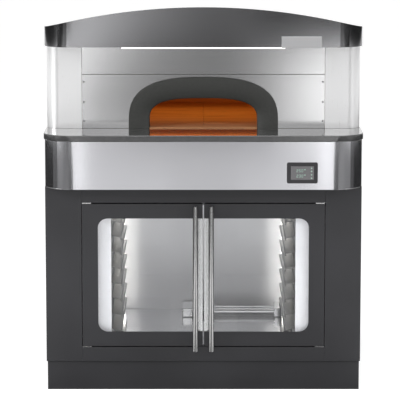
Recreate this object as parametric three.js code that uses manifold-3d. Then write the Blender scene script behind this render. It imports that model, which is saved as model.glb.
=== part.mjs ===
// A deck oven over a glazed cabinet.
// The oven has an arched mouth, a stone deck and a hood, and the cabinet below it has two glass doors.
// Millimetres, +Z up. The front faces -Y, and the origin is on the floor under the middle.
import * as THREE from "three";
import { mergeVertices } from "three/addons/utils/BufferGeometryUtils.js";
import Module from "manifold-3d";

const wasm = await Module();
wasm.setup();

// Fits
const GAP = 0.3; // between pieces that meet
const OVERRUN = 5; // how far a cutter passes the face it cuts
const ROUND_SIDES = 24;
const SMALL_SIDES = 12;
const CORNER_STEPS = 8; // facets in a quarter turn
const ARCH_STEPS = 24; // facets over an arch

// Depths, each measured back from the worktop's front edge
const DEPTH = 1450;
const BAND_SETBACK = 8;
const HOOD_SETBACK = 60;
const CABINET_SETBACK = 130;
const FACE_SETBACK = 280;
const WORKTOP_DEPTH = 350;
const HOOD_END = 420;

// Half widths, each from the cabinet's
const CABINET_HALF = 751;
const BAND_PROUD = 1; // the band beyond the cabinet's side
const WORKTOP_OVERHANG = 4; // the worktop beyond the band
const HOOD_INSET = 1;
const PLINTH_INSET = 4.5;
const POST_WIDTH = 171;
const bandHalf = CABINET_HALF + BAND_PROUD;
const worktopHalf = bandHalf + WORKTOP_OVERHANG;
const hoodHalf = CABINET_HALF - HOOD_INSET;
const plinthHalf = CABINET_HALF - PLINTH_INSET;
const faceHalf = CABINET_HALF - POST_WIDTH; // also where the cabinet's posts begin

// Heights, each stacked on the one below
const PLINTH_TOP = 140;
const BOTTOM_RAIL = 68;
const DOOR_OPENING = 700;
const TOP_RAIL = 80;
const BAND_HEIGHT = 227;
const WORKTOP_THICKNESS = 30;
const DECK_STEP = 4; // the stones over the worktop
const SEAM_RISE = 259; // the face's seam over the worktop
const FACE_HEIGHT = 408;
const HOOD_SIDE = 47;
const HOOD_CORNER_RISE = 91;
const HOOD_RISE = 188;
const REAR_DROP = 100; // the rear deck below the hood's roof
const bottomRailTop = PLINTH_TOP + BOTTOM_RAIL;
const topRailBottom = bottomRailTop + DOOR_OPENING;
const bandBottom = topRailBottom + TOP_RAIL;
const worktopBottom = bandBottom + BAND_HEIGHT;
const worktopTop = worktopBottom + WORKTOP_THICKNESS;
const deckTop = worktopTop + DECK_STEP;
const seamHeight = worktopTop + SEAM_RISE;
const hoodBottom = worktopTop + FACE_HEIGHT;
const roofTop = hoodBottom + HOOD_SIDE;
const hoodCornerTop = hoodBottom + HOOD_CORNER_RISE;
const hoodTop = hoodBottom + HOOD_RISE;
const rearTop = roofTop - REAR_DROP;

// Sheets and corners
const SHEET = 3;
const LINER_SHEET = 2;
const DOOR_GAP = 6; // above and below the doors
const DOOR_SIDE_GAP = 3;
const CORNER_RADIUS = 130;
const WING_RADIUS = 60;
const HOOD_RADIUS = 115;

const worktopFront = -DEPTH / 2;
const bandFront = worktopFront + BAND_SETBACK;
const hoodFront = worktopFront + HOOD_SETBACK;
const cabinetFront = worktopFront + CABINET_SETBACK;
const faceFront = worktopFront + FACE_SETBACK;
const worktopBack = worktopFront + WORKTOP_DEPTH;
const hoodBack = worktopFront + HOOD_END;
const rearPanelFront = DEPTH / 2 - SHEET;
const bodyBack = rearPanelFront - GAP;
const shellBottom = PLINTH_TOP + SHEET;
const doorBottom = bottomRailTop + DOOR_GAP;
const doorTop = topRailBottom - DOOR_GAP;
const doorOuter = faceHalf - DOOR_SIDE_GAP;

const SIDES = [
  [-1, "left"],
  [1, "right"],
];

// Colour, roughness and metalness of each finish
const FINISHES = {
  dark_paint: [0x47474b, 0.45, 0.4],
  stainless: [0xb9bbc0, 0.3, 1],
  polished: [0xd4d6da, 0.12, 1],
  dark_top: [0x38383a, 0.2, 0.1],
  dark_casting: [0x3c3c3a, 0.55, 0.5],
  refractory: [0xb07a48, 0.9, 0],
  insulation: [0xd8d0b4, 1, 0],
  glass: [0xd4dcde, 0.05, 0],
  screen: [0x5a5f5f, 0.2, 0],
  black_plastic: [0x232326, 0.5, 0],
  seal: [0x5c5d60, 0.8, 0],
  element: [0x6b4a3c, 0.6, 0.8],
  lamp: [0xfff6df, 0.4, 0],
};

const oven = new THREE.Group();

// Adds one named piece.
function piece(name, finish, geometry) {
  const [color, roughness, metalness] = FINISHES[finish];
  const material = new THREE.MeshStandardMaterial({ color, roughness, metalness });
  const mesh = new THREE.Mesh(geometry, material);
  mesh.name = name;
  oven.add(mesh);
}

// The same surface with positions only and no index.
function bare(geometry) {
  const plain = geometry.index ? geometry.toNonIndexed() : geometry.clone();
  plain.deleteAttribute("normal");
  plain.deleteAttribute("uv");
  return plain;
}

// Basic solids

function box([x0, x1], [y0, y1], [z0, z1]) {
  const solid = new THREE.BoxGeometry(x1 - x0, y1 - y0, z1 - z0);
  return solid.translate((x0 + x1) / 2, (y0 + y1) / 2, (z0 + z1) / 2);
}

// Low and high x of a stretch on one side of the middle.
function span(side, near, far) {
  return side > 0 ? [near, far] : [-far, -near];
}

function barAlongX(radius, [x0, x1], y, z, sides = SMALL_SIDES) {
  return new THREE.CylinderGeometry(radius, radius, x1 - x0, sides)
    .rotateZ(Math.PI / 2)
    .translate((x0 + x1) / 2, y, z);
}

function barAlongY(radius, x, [y0, y1], z, sides = SMALL_SIDES) {
  return new THREE.CylinderGeometry(radius, radius, y1 - y0, sides).translate(x, (y0 + y1) / 2, z);
}

function barAlongZ(radius, x, y, [z0, z1], sides = ROUND_SIDES) {
  return new THREE.CylinderGeometry(radius, radius, z1 - z0, sides)
    .rotateX(Math.PI / 2)
    .translate(x, y, (z0 + z1) / 2);
}

// A plan outline, raised from z0 to z1.
function raisedPlan(shape, [z0, z1]) {
  const settings = { depth: z1 - z0, bevelEnabled: false };
  return new THREE.ExtrudeGeometry(shape, settings).translate(0, 0, z0);
}

// An outline seen from the front, carried back from y0 to y1.
function carriedBack(shape, [y0, y1]) {
  const settings = { depth: y1 - y0, bevelEnabled: false };
  return new THREE.ExtrudeGeometry(shape, settings).rotateX(Math.PI / 2).translate(0, y1, 0);
}

// An outline seen from the right, with y across and z up, carried from x0 to x1.
function carriedAcross(shape, [x0, x1]) {
  const settings = { depth: x1 - x0, bevelEnabled: false };
  return new THREE.ExtrudeGeometry(shape, settings)
    .rotateX(Math.PI / 2)
    .rotateZ(Math.PI / 2)
    .translate(x0, 0, 0);
}

function outline(points) {
  return new THREE.Shape(points.map(([across, up]) => new THREE.Vector2(across, up)));
}

function rectangle([x0, x1], [z0, z1]) {
  return outline([
    [x0, z0],
    [x1, z0],
    [x1, z1],
    [x0, z1],
  ]);
}

// Cuts and joins

function solidOf(geometry) {
  const merged = mergeVertices(bare(geometry), GAP / 1000);
  const vertProperties = merged.attributes.position.array;
  const triVerts = new Uint32Array(merged.index.array);
  return new wasm.Manifold(new wasm.Mesh({ numProp: 3, vertProperties, triVerts }));
}

function geometryOf(solid) {
  const mesh = solid.getMesh();
  const geometry = new THREE.BufferGeometry();
  geometry.setAttribute("position", new THREE.BufferAttribute(new Float32Array(mesh.vertProperties), 3));
  geometry.setIndex(new THREE.BufferAttribute(new Uint32Array(mesh.triVerts), 1));
  return geometry;
}

function cut(geometry, ...cutters) {
  return geometryOf(cutters.reduce((left, cutter) => left.subtract(solidOf(cutter)), solidOf(geometry)));
}

function join(geometry, ...others) {
  return geometryOf(others.reduce((whole, other) => whole.add(solidOf(other)), solidOf(geometry)));
}

// Lofts

// A closed body through matching rows of points. The cap lists the end faces as triangles of a row.
function loft(rows, cap) {
  const count = rows[0].length;
  const last = (rows.length - 1) * count;
  const index = [];
  for (let row = 0; row + 1 < rows.length; row++)
    for (let k = 0; k < count; k++) {
      const a = row * count + k;
      const b = row * count + ((k + 1) % count);
      index.push(a, b, b + count, a, b + count, a + count);
    }
  for (const [p, q, r] of cap) index.push(q, p, r, last + p, last + q, last + r);
  const geometry = new THREE.BufferGeometry().setFromPoints(rows.flat());
  geometry.setIndex(index);
  return facingOut(geometry);
}

// Turns all the faces round if they point inwards.
function facingOut(geometry) {
  const place = geometry.attributes.position;
  const index = Array.from(geometry.index.array);
  const corner = (i) => new THREE.Vector3().fromBufferAttribute(place, index[i]);
  let volume = 0;
  for (let i = 0; i < index.length; i += 3) volume += corner(i).dot(corner(i + 1).cross(corner(i + 2)));
  if (volume < 0) geometry.setIndex(index.reverse());
  return geometry;
}

const FOUR_SIDED_CAP = [
  [0, 1, 2],
  [0, 2, 3],
];

// A sheet that stands along a plan path. Each outer plan point has its inner one and its own top.
function standingSheet(outer, inner, bottom, topAt) {
  const rows = outer.map((near, i) => {
    const far = inner[i];
    const top = topAt(near);
    return [
      new THREE.Vector3(near.x, near.y, bottom),
      new THREE.Vector3(near.x, near.y, top),
      new THREE.Vector3(far.x, far.y, top),
      new THREE.Vector3(far.x, far.y, bottom),
    ];
  });
  return loft(rows, FOUR_SIDED_CAP);
}

// A quarter turn of points about a centre.
function quarterTurn(x, y, radius, start) {
  return Array.from({ length: CORNER_STEPS + 1 }, (_, i) => {
    const angle = start + ((i / CORNER_STEPS) * Math.PI) / 2;
    return new THREE.Vector2(x + radius * Math.cos(angle), y + radius * Math.sin(angle));
  });
}

// Plan points of a U with round front corners, from the left back to the right back.
function roundFrontedU(half, front, back, radius, frontSteps = 1) {
  const flat = [];
  for (let i = 1; i < frontSteps; i++)
    flat.push(new THREE.Vector2((half - radius) * ((2 * i) / frontSteps - 1), front));
  return [
    new THREE.Vector2(-half, back),
    ...quarterTurn(-half + radius, front + radius, radius, Math.PI),
    ...flat,
    ...quarterTurn(half - radius, front + radius, radius, Math.PI * 1.5),
    new THREE.Vector2(half, back),
  ];
}

// Points of an arch on two upright legs, from its right foot to its left. The curve is a superellipse.
function archPoints(half, legs, rise, power, foot) {
  const curve = Array.from({ length: ARCH_STEPS + 1 }, (_, i) => {
    const angle = (Math.PI * i) / ARCH_STEPS;
    const across = Math.cos(angle);
    const x = half * Math.sign(across) * Math.abs(across) ** (2 / power);
    return new THREE.Vector2(x, foot + legs + rise * Math.sin(angle) ** (2 / power));
  });
  return [new THREE.Vector2(half, foot), ...curve, new THREE.Vector2(-half, foot)];
}

// Half the width between an arch's facets at a height above the floor.
function halfWidthAt(points, height) {
  const next = points.findIndex((point) => point.y >= height);
  const low = points[next - 1];
  const high = points[next];
  return low.x + ((high.x - low.x) * (height - low.y)) / (high.y - low.y);
}

// Plinth: folded sheet round a hollow, under the cabinet's base plate

const PLINTH_RECESS = 8; // behind the cabinet's front

function plinth() {
  const front = cabinetFront + PLINTH_RECESS;
  const inner = plinthHalf - SHEET;
  const walls = box([-plinthHalf, plinthHalf], [front, bodyBack], [0, PLINTH_TOP]);
  const hollowYs = [front + SHEET, bodyBack - SHEET];
  const hollow = box([-inner, inner], hollowYs, [-OVERRUN, PLINTH_TOP + OVERRUN]);
  const plate = box([-CABINET_HALF, CABINET_HALF], [cabinetFront, bodyBack], [PLINTH_TOP, shellBottom]);
  piece("plinth", "dark_paint", join(cut(walls, hollow), plate));
}

// Cabinet shell

const POST_DEPTH = 40;
const RAIL_DEPTH = 38;
const postBack = cabinetFront + POST_DEPTH;

function cabinetShell() {
  const zs = [shellBottom, bandBottom];
  for (const [side, name] of SIDES) {
    const plan = outline([
      [side * faceHalf, cabinetFront],
      [side * CABINET_HALF, cabinetFront],
      [side * CABINET_HALF, postBack],
      [side * (CABINET_HALF - SHEET), postBack],
      [side * (CABINET_HALF - SHEET), cabinetFront + SHEET],
      [side * (faceHalf + SHEET), cabinetFront + SHEET],
      [side * (faceHalf + SHEET), postBack],
      [side * faceHalf, postBack],
    ]);
    piece(`front_post_${name}`, "dark_paint", raisedPlan(plan, zs));
    const panel = span(side, CABINET_HALF - SHEET, CABINET_HALF);
    piece(`side_panel_${name}`, "dark_paint", box(panel, [postBack + GAP, bodyBack], zs));
  }
  const across = [-faceHalf + GAP, faceHalf - GAP];
  const lowAngle = angleSection(bottomRailTop, bottomRailTop - SHEET, shellBottom);
  const highAngle = angleSection(topRailBottom, topRailBottom + SHEET, bandBottom);
  piece("bottom_rail", "dark_paint", carriedAcross(lowAngle, across));
  piece("top_rail", "dark_paint", carriedAcross(highAngle, across));
  piece("rear_panel", "dark_paint", box([-CABINET_HALF, CABINET_HALF], [rearPanelFront, DEPTH / 2], zs));
}

// An angle's section: a shelf between two heights, and a front that runs from it to a third.
function angleSection(shelf, shelfOther, far) {
  const back = cabinetFront + RAIL_DEPTH;
  return outline([
    [cabinetFront, shelf],
    [back, shelf],
    [back, shelfOther],
    [cabinetFront + SHEET, shelfOther],
    [cabinetFront + SHEET, far],
    [cabinetFront, far],
  ]);
}

// Chamber liner

const JAMB_SHOW = 140; // the jamb's inner edge from the face's
const JAMB_LAP = 60; // the jamb behind the post
const FLOOR_STEP = 1; // the floor above the door's foot
const TOP_INSET = 12;
const SEAM_ABOVE_FLOOR = 177;
const CHAMBER_DEPTH = 858;
const SEAM_WIDTH = 1.5;
const SEAM_DEPTH = 1;
const RACK_SHEET = 3;
const jambInner = faceHalf - JAMB_SHOW;
const jambOuter = faceHalf + JAMB_LAP;
const chamberFloor = doorBottom + FLOOR_STEP;
const chamberTop = doorTop - TOP_INSET;
const backSeam = chamberFloor + SEAM_ABOVE_FLOOR;
const jambFront = postBack + GAP;
const chamberFront = jambFront + LINER_SHEET + GAP;
const chamberBack = chamberFront + CHAMBER_DEPTH;
const linerHalf = jambInner + RACK_SHEET + GAP;
const linerOuter = linerHalf + LINER_SHEET;

function chamberLiner() {
  const jambBottom = shellBottom + GAP;
  const jambs = rectangle([-jambOuter, jambOuter], [jambBottom, bandBottom - GAP]);
  jambs.holes.push(rectangle([-jambInner, jambInner], [chamberFloor, chamberTop]));
  piece("door_jambs", "stainless", carriedBack(jambs, [jambFront, jambFront + LINER_SHEET]));

  const ys = [chamberFront, chamberBack];
  const floor = channel(chamberFloor, jambBottom);
  piece("liner_floor", "stainless", carriedBack(floor, ys));

  const top = chamberTop + LINER_SHEET;
  const bottom = chamberFloor + GAP;
  const shell = carriedBack(channel(top, bottom), ys);
  const back = box([-linerOuter, linerOuter], [chamberBack, chamberBack + LINER_SHEET], [bottom, top]);
  const seamYs = [chamberBack - OVERRUN, chamberBack + SEAM_DEPTH];
  const seam = box([-linerHalf, linerHalf], seamYs, [backSeam, backSeam + SEAM_WIDTH]);
  piece("liner_shell", "stainless", cut(join(shell, back), seam));

  for (const [side, name] of SIDES) piece(`tray_rack_${name}`, "stainless", trayRack(side));
}

// The section of a sheet with a flat top and a leg at each side.
function channel(top, bottom) {
  return outline([
    [-linerOuter, bottom],
    [-linerHalf, bottom],
    [-linerHalf, top - LINER_SHEET],
    [linerHalf, top - LINER_SHEET],
    [linerHalf, bottom],
    [linerOuter, bottom],
    [linerOuter, top],
    [-linerOuter, top],
  ]);
}

// Tray racks, each a panel with ribs that carry trays

const LEVELS = 8;
const LEVEL_PITCH = 75;
const RIB_START = 60; // the lowest rib above the floor
const RIB_REACH = 50;
const RIB_ROOT = 30;
const RIB_NOSE = 14;
const RACK_FRONT_GAP = 8;
const RACK_BACK_GAP = 24;
const RACK_MARGIN = 35; // panel beyond the end ribs' middles
const lowestRib = chamberFloor + RIB_START;

function trayRack(side) {
  const outer = jambInner + RACK_SHEET;
  const nose = jambInner - RIB_REACH;
  const bottom = lowestRib - RACK_MARGIN;
  const top = lowestRib + (LEVELS - 1) * LEVEL_PITCH + RACK_MARGIN;
  const comb = [
    [outer, bottom],
    [jambInner, bottom],
  ];
  for (let level = 0; level < LEVELS; level++) {
    const z = lowestRib + level * LEVEL_PITCH;
    comb.push([jambInner, z - RIB_ROOT / 2]);
    comb.push([nose, z - RIB_NOSE / 2]);
    comb.push([nose, z + RIB_NOSE / 2]);
    comb.push([jambInner, z + RIB_ROOT / 2]);
  }
  comb.push([jambInner, top]);
  comb.push([outer, top]);
  const section = outline(comb.map(([x, z]) => [side * x, z]));
  return carriedBack(section, [chamberFront + RACK_FRONT_GAP, chamberBack - RACK_BACK_GAP]);
}

// Floor heater and lights inside the cabinet

const HEATER_OFFSET = 153.5; // the tubes' middle from the oven's
const HEATER_LENGTH = 413;
const LEFT_BLOCK = 53;
const RIGHT_BLOCK = 40;
const BLOCK_HEIGHT = 45;
const BLOCK_DEPTH = 190;
const BLOCK_BACK_GAP = 30;
const HEATER_TUBES = 3;
const HEATER_PITCH = 60;
const HEATER_RADIUS = 10;
const LIGHT_INSET = 38;
const LIGHT_WIDTH = 16;
const LIGHT_DEPTH = 12;
const LIGHT_FOOT = 25; // above the floor
const LIGHT_HEAD = 20; // below the top
const heaterLeft = HEATER_OFFSET - HEATER_LENGTH / 2;
const heaterRight = HEATER_OFFSET + HEATER_LENGTH / 2;
const lightInner = jambInner - LIGHT_INSET;
const lightBottom = chamberFloor + LIGHT_FOOT;
const lightTop = chamberTop - LIGHT_HEAD;

function chamberFittings() {
  const back = chamberBack - BLOCK_BACK_GAP;
  const ys = [back - BLOCK_DEPTH, back];
  const zs = [chamberFloor, chamberFloor + BLOCK_HEIGHT];
  const tubeXs = [heaterLeft - OVERRUN, heaterRight + OVERRUN];
  const tubes = [];
  for (let i = 0; i < HEATER_TUBES; i++) {
    const y = back - BLOCK_DEPTH / 2 + (i - (HEATER_TUBES - 1) / 2) * HEATER_PITCH;
    tubes.push(barAlongX(HEATER_RADIUS, tubeXs, y, chamberFloor + BLOCK_HEIGHT / 2));
  }
  const leftBlock = box([heaterLeft - LEFT_BLOCK, heaterLeft], ys, zs);
  const rightBlock = box([heaterRight, heaterRight + RIGHT_BLOCK], ys, zs);
  piece("floor_heater", "polished", join(leftBlock, rightBlock, ...tubes));
  const lightYs = [chamberBack - GAP - LIGHT_DEPTH, chamberBack - GAP];
  for (const [side, name] of SIDES) {
    const xs = span(side, lightInner, lightInner + LIGHT_WIDTH);
    piece(`interior_light_${name}`, "lamp", box(xs, lightYs, [lightBottom, lightTop]));
  }
}

// Doors

const DOOR_MEETING = 3; // half the gap between the doors
const DOOR_THICKNESS = 24;
const DOOR_SKIN = 4; // in front of the glass
const DOOR_STILE = 75;
const DOOR_RAIL = 70;
const WINDOW_RADIUS = 46;
const GLASS = 6;
const GLASS_LAP = 8;
const EDGE_BRIGHT = 13; // width of the strip's deep part
const EDGE_FLANGE = 12;
const EDGE_FLANGE_SHEET = 4;
const PIVOT_INSET = 6; // from the door's edge and from its front
const PIN_RADIUS = 3;
const PIN_LENGTH = 20;
const PIN_CLEARANCE = 0.4;
const HINGE_LENGTH = 43;
const HINGE_DEPTH = 22;
const HINGE_CLEARANCE = 1; // between the plate and the door
const SEAL_INSET = 23; // from the door's hinge edge
const SEAL_WIDTH = 12;
const SEAL_MEETING = 8;
const HANDLE_X = 38;
const HANDLE_RADIUS = 12;
const HANDLE_BELOW = 16; // past the door's foot
const HANDLE_SHORT = 3; // of the door's top
const HANDLE_REACH = 55; // from the door to the tube's middle
const STUD_RADIUS = 7;
const CATCH_HALF = 40;
const CATCH_DEPTH = 18;
const CATCH_HEIGHT = 4;
const windowOuter = doorOuter - DOOR_STILE;
const windowBottom = doorBottom + DOOR_RAIL;
const windowTop = doorTop - DOOR_RAIL;
const handleBottom = doorBottom - HANDLE_BELOW;
const handleTop = doorTop - HANDLE_SHORT;
const doorBack = cabinetFront + DOOR_THICKNESS;
const glassFront = cabinetFront + DOOR_SKIN + GAP;
const pivotX = doorOuter - PIVOT_INSET;
const pivotY = cabinetFront + PIVOT_INSET;
const handleY = cabinetFront - HANDLE_REACH;

// A pane with round corners at the hinge side, running to the meeting edge.
function pane(side, inner, lap) {
  const centre = windowOuter - WINDOW_RADIUS;
  const radius = WINDOW_RADIUS + lap;
  const corners = [
    ...quarterTurn(centre, windowBottom + WINDOW_RADIUS, radius, -Math.PI / 2),
    ...quarterTurn(centre, windowTop - WINDOW_RADIUS, radius, 0),
  ];
  const placed = corners.map((point) => [side * point.x, point.y]);
  return outline([[side * inner, windowBottom - lap], ...placed, [side * inner, windowTop + lap]]);
}

function door(side, name) {
  const leaf = box(span(side, DOOR_MEETING, doorOuter), [cabinetFront, doorBack], [doorBottom, doorTop]);
  const past = DOOR_MEETING - OVERRUN;
  const window = carriedBack(pane(side, past, 0), [cabinetFront - OVERRUN, doorBack + OVERRUN]);
  const rebate = carriedBack(pane(side, past, GLASS_LAP), [cabinetFront + DOOR_SKIN, doorBack + OVERRUN]);
  const bore = (zs) => barAlongZ(PIN_RADIUS + PIN_CLEARANCE, side * pivotX, pivotY, zs);
  const lowBore = bore([doorBottom - OVERRUN, doorBottom + PIN_LENGTH + GAP]);
  const highBore = bore([doorTop - PIN_LENGTH - GAP, doorTop + OVERRUN]);
  piece(`door_${name}_frame`, "dark_paint", cut(leaf, window, rebate, lowBore, highBore));

  const glass = carriedBack(pane(side, DOOR_MEETING, GLASS_LAP - GAP), [glassFront, glassFront + GLASS]);
  piece(`door_${name}_glass`, "glass", glass);

  const stripFront = glassFront + GLASS + GAP;
  const bright = side * (DOOR_MEETING + EDGE_BRIGHT);
  const flange = side * (DOOR_MEETING + EDGE_BRIGHT + EDGE_FLANGE);
  const strip = outline([
    [side * DOOR_MEETING, stripFront],
    [bright, stripFront],
    [bright, doorBack - EDGE_FLANGE_SHEET],
    [flange, doorBack - EDGE_FLANGE_SHEET],
    [flange, doorBack],
    [side * DOOR_MEETING, doorBack],
  ]);
  const stripEnds = [windowBottom - GLASS_LAP + GAP, windowTop + GLASS_LAP - GAP];
  piece(`door_${name}_edge_strip`, "polished", raisedPlan(strip, stripEnds));

  const tube = barAlongZ(HANDLE_RADIUS, side * HANDLE_X, handleY, [handleBottom, handleTop]);
  const studHeights = [(doorBottom + windowBottom) / 2, (doorTop + windowTop) / 2];
  const studYs = [handleY, cabinetFront - GAP];
  const studs = studHeights.map((z) => barAlongY(STUD_RADIUS, side * HANDLE_X, studYs, z));
  piece(`door_${name}_handle`, "polished", join(tube, ...studs));

  const sealOuter = doorOuter - SEAL_INSET;
  const sealInner = sealOuter - SEAL_WIDTH;
  const seal = outline(
    [
      [SEAL_MEETING, doorBottom],
      [sealOuter, doorBottom],
      [sealOuter, doorTop],
      [SEAL_MEETING, doorTop],
      [SEAL_MEETING, doorTop - SEAL_WIDTH],
      [sealInner, doorTop - SEAL_WIDTH],
      [sealInner, doorBottom + SEAL_WIDTH],
      [SEAL_MEETING, doorBottom + SEAL_WIDTH],
    ].map(([x, z]) => [side * x, z]),
  );
  piece(`door_${name}_seal`, "seal", carriedBack(seal, [doorBack + GAP, jambFront - GAP]));
}

function hingesAndCatch() {
  const ys = [cabinetFront + GAP, cabinetFront + HINGE_DEPTH];
  const low = [bottomRailTop + GAP, doorBottom - HINGE_CLEARANCE];
  const high = [doorTop + HINGE_CLEARANCE, topRailBottom - GAP];
  for (const [side, name] of SIDES) {
    const xs = span(side, doorOuter - HINGE_LENGTH, doorOuter);
    const pin = (zs) => barAlongZ(PIN_RADIUS, side * pivotX, pivotY, zs);
    piece(`hinge_lower_${name}`, "polished", join(box(xs, ys, low), pin([low[0], doorBottom + PIN_LENGTH])));
    piece(`hinge_upper_${name}`, "polished", join(box(xs, ys, high), pin([doorTop - PIN_LENGTH, high[1]])));
  }
  const catchYs = [cabinetFront + GAP, cabinetFront + CATCH_DEPTH];
  const catchZs = [bottomRailTop, bottomRailTop + CATCH_HEIGHT];
  piece("door_catch", "black_plastic", box([-CATCH_HALF, CATCH_HALF], catchYs, catchZs));
}

// Control band and display

const DISPLAY_FROM_SIDE = 288.5;
const DISPLAY_ABOVE_FOOT = 80.5;
const BEZEL_WIDTH = 145;
const BEZEL_HEIGHT = 99;
const BEZEL_RADIUS = 8;
const BEZEL_PROUD = 4;
const SCREEN_WIDTH = 108;
const SCREEN_HEIGHT = 64;
const SCREEN_THICKNESS = 1.5;
const SCREEN_RECESS = 2.5;
const MODULE_WIDTH = 124;
const MODULE_HEIGHT = 78;
const MODULE_DEPTH = 28;
const ELECTRICS_WIDTH = 170;
const ELECTRICS_DEPTH = 120;
const ELECTRICS_HEIGHT = 160;
const displayX = bandHalf - DISPLAY_FROM_SIDE;
const displayZ = bandBottom + DISPLAY_ABOVE_FOOT;

// The x and z stretches of a rectangle about the display's middle.
function aboutDisplay(width, height, margin = 0) {
  const halfWidth = width / 2 + margin;
  const halfHeight = height / 2 + margin;
  return [
    [displayX - halfWidth, displayX + halfWidth],
    [displayZ - halfHeight, displayZ + halfHeight],
  ];
}

function roundedRectangle([x0, x1], [z0, z1], radius) {
  return new THREE.Shape([
    ...quarterTurn(x1 - radius, z0 + radius, radius, -Math.PI / 2),
    ...quarterTurn(x1 - radius, z1 - radius, radius, 0),
    ...quarterTurn(x0 + radius, z1 - radius, radius, Math.PI / 2),
    ...quarterTurn(x0 + radius, z0 + radius, radius, Math.PI),
  ]);
}

function controlBand() {
  const outer = roundFrontedU(bandHalf, bandFront, bodyBack, CORNER_RADIUS);
  const inner = roundFrontedU(bandHalf - SHEET, bandFront + SHEET, bodyBack, CORNER_RADIUS - SHEET);
  const sheet = standingSheet(outer, inner, bandBottom, () => worktopBottom);
  const [holeXs, holeZs] = aboutDisplay(MODULE_WIDTH, MODULE_HEIGHT, GAP);
  const hole = box(holeXs, [bandFront - OVERRUN, bandFront + SHEET + OVERRUN], holeZs);
  piece("control_band", "stainless", cut(sheet, hole));

  const inset = SHEET + GAP;
  const plan = roundFrontedU(bandHalf - inset, bandFront + inset, bodyBack, CORNER_RADIUS - inset);
  const floorTop = bandBottom + SHEET;
  piece("band_underside", "stainless", raisedPlan(new THREE.Shape(plan), [bandBottom, floorTop]));

  const bezelFront = bandFront - GAP - BEZEL_PROUD;
  const moduleBack = bandFront + MODULE_DEPTH;
  const [bezelXs, bezelZs] = aboutDisplay(BEZEL_WIDTH, BEZEL_HEIGHT);
  const plate = carriedBack(roundedRectangle(bezelXs, bezelZs, BEZEL_RADIUS), [bezelFront, bandFront - GAP]);
  const [bodyXs, bodyZs] = aboutDisplay(MODULE_WIDTH, MODULE_HEIGHT);
  const body = box(bodyXs, [bezelFront + BEZEL_PROUD / 2, moduleBack], bodyZs);
  const [recessXs, recessZs] = aboutDisplay(SCREEN_WIDTH, SCREEN_HEIGHT, GAP);
  const recess = box(recessXs, [bezelFront - OVERRUN, bezelFront + SCREEN_RECESS], recessZs);
  piece("control_bezel", "black_plastic", cut(join(plate, body), recess));

  const screenBack = bezelFront + SCREEN_RECESS - GAP;
  const [screenXs, screenZs] = aboutDisplay(SCREEN_WIDTH, SCREEN_HEIGHT);
  piece("control_screen", "screen", box(screenXs, [screenBack - SCREEN_THICKNESS, screenBack], screenZs));

  const boxXs = [displayX - ELECTRICS_WIDTH / 2, displayX + ELECTRICS_WIDTH / 2];
  const boxYs = [moduleBack + GAP, moduleBack + GAP + ELECTRICS_DEPTH];
  piece("electrics_box", "stainless", box(boxXs, boxYs, [floorTop, floorTop + ELECTRICS_HEIGHT]));
}

// Worktop and mouth

const MOUTH_HALF = 257.5;
const MOUTH_RISE = 110;
const MOUTH_POWER = 3;
const MOUTH_WALL = 6;
const MOUTH_LEGS = 35; // from the worktop to where both curves begin
const SURROUND_WIDTH = 99.5;
const SURROUND_DEPTH = 102; // over the mouth's crown
const SURROUND_POWER = 2.7;
const SURROUND_PROUD = 18; // outer edge in front of the oven's face
const MOUTH_PROUD = 4; // inner edge in front of it
const SILL_SIDE_GAP = 0.6;
const surroundHalf = MOUTH_HALF + SURROUND_WIDTH;
const surroundRise = MOUTH_RISE + SURROUND_DEPTH;
const springing = worktopTop + MOUTH_LEGS;
const mouthFoot = worktopTop + GAP;

function worktop() {
  const overhang = worktopHalf - bandHalf;
  const plan = roundFrontedU(worktopHalf, worktopFront, worktopBack, CORNER_RADIUS + overhang);
  piece("worktop", "dark_top", raisedPlan(new THREE.Shape(plan), [worktopBottom, worktopTop]));
}

function mouthArch(margin, foot) {
  return archPoints(MOUTH_HALF + margin, springing - foot, MOUTH_RISE + margin, MOUTH_POWER, foot);
}

const SURROUND_CAP = [
  [0, 1, 5],
  [1, 2, 5],
  [2, 3, 4],
  [2, 4, 5],
];

function mouth() {
  const rim = archPoints(surroundHalf, springing - mouthFoot, surroundRise, SURROUND_POWER, mouthFoot);
  const inner = mouthArch(0, mouthFoot);
  const throat = mouthArch(MOUTH_WALL, mouthFoot);
  const sections = [
    [rim, faceFront - GAP],
    [rim, faceFront - SURROUND_PROUD],
    [inner, faceFront - MOUTH_PROUD],
    [inner, worktopBack],
    [throat, worktopBack],
    [throat, faceFront - GAP],
  ];
  const rows = rim.map((_, i) => sections.map(([path, y]) => new THREE.Vector3(path[i].x, y, path[i].y)));
  piece("mouth_surround", "dark_casting", loft(rows, SURROUND_CAP));

  const sillHalf = MOUTH_HALF - SILL_SIDE_GAP;
  const sillYs = [faceFront - MOUTH_PROUD, worktopBack];
  piece("mouth_sill", "refractory", box([-sillHalf, sillHalf], sillYs, [worktopTop, deckTop]));
}

// Baking chamber

const VAULT_INSET = 55; // inside the face's edge
const VAULT_LEGS = 81; // over the stones
const UNDER_STONES = 59;
const REAR_SPACE = 66; // between the chamber and the rear panel
const ROD_RISE = 151; // the roof's rods over the stones
const VAULT_RISE = 110;
const VAULT_POWER = 3;
const VAULT_SHEET = 4;
const END_WALL = 20;
const STONE = 30;
const RAIL_WIDTH = 30;
const ROOF_RODS = 6;
const ROD_RADIUS = 6;
const ROD_END_GAP = 0.6;
const RODS_PER_BAY = 4;
const STRAP_WIDTH = 15;
const STRAP_SHEET = 4;
const ROOF_STRAP_X = 300;
const FLOOR_STRAP_INSET = 200; // from the deck frame's ends
const WOOL = 65;
const vaultHalf = faceHalf - VAULT_INSET;
const vaultSpringing = deckTop + VAULT_LEGS;
const vaultFoot = deckTop - UNDER_STONES;
const roofRodHeight = deckTop + ROD_RISE;
const vaultOuter = vaultHalf + VAULT_SHEET;
const vaultFront = worktopBack + GAP + END_WALL + GAP;
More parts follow.
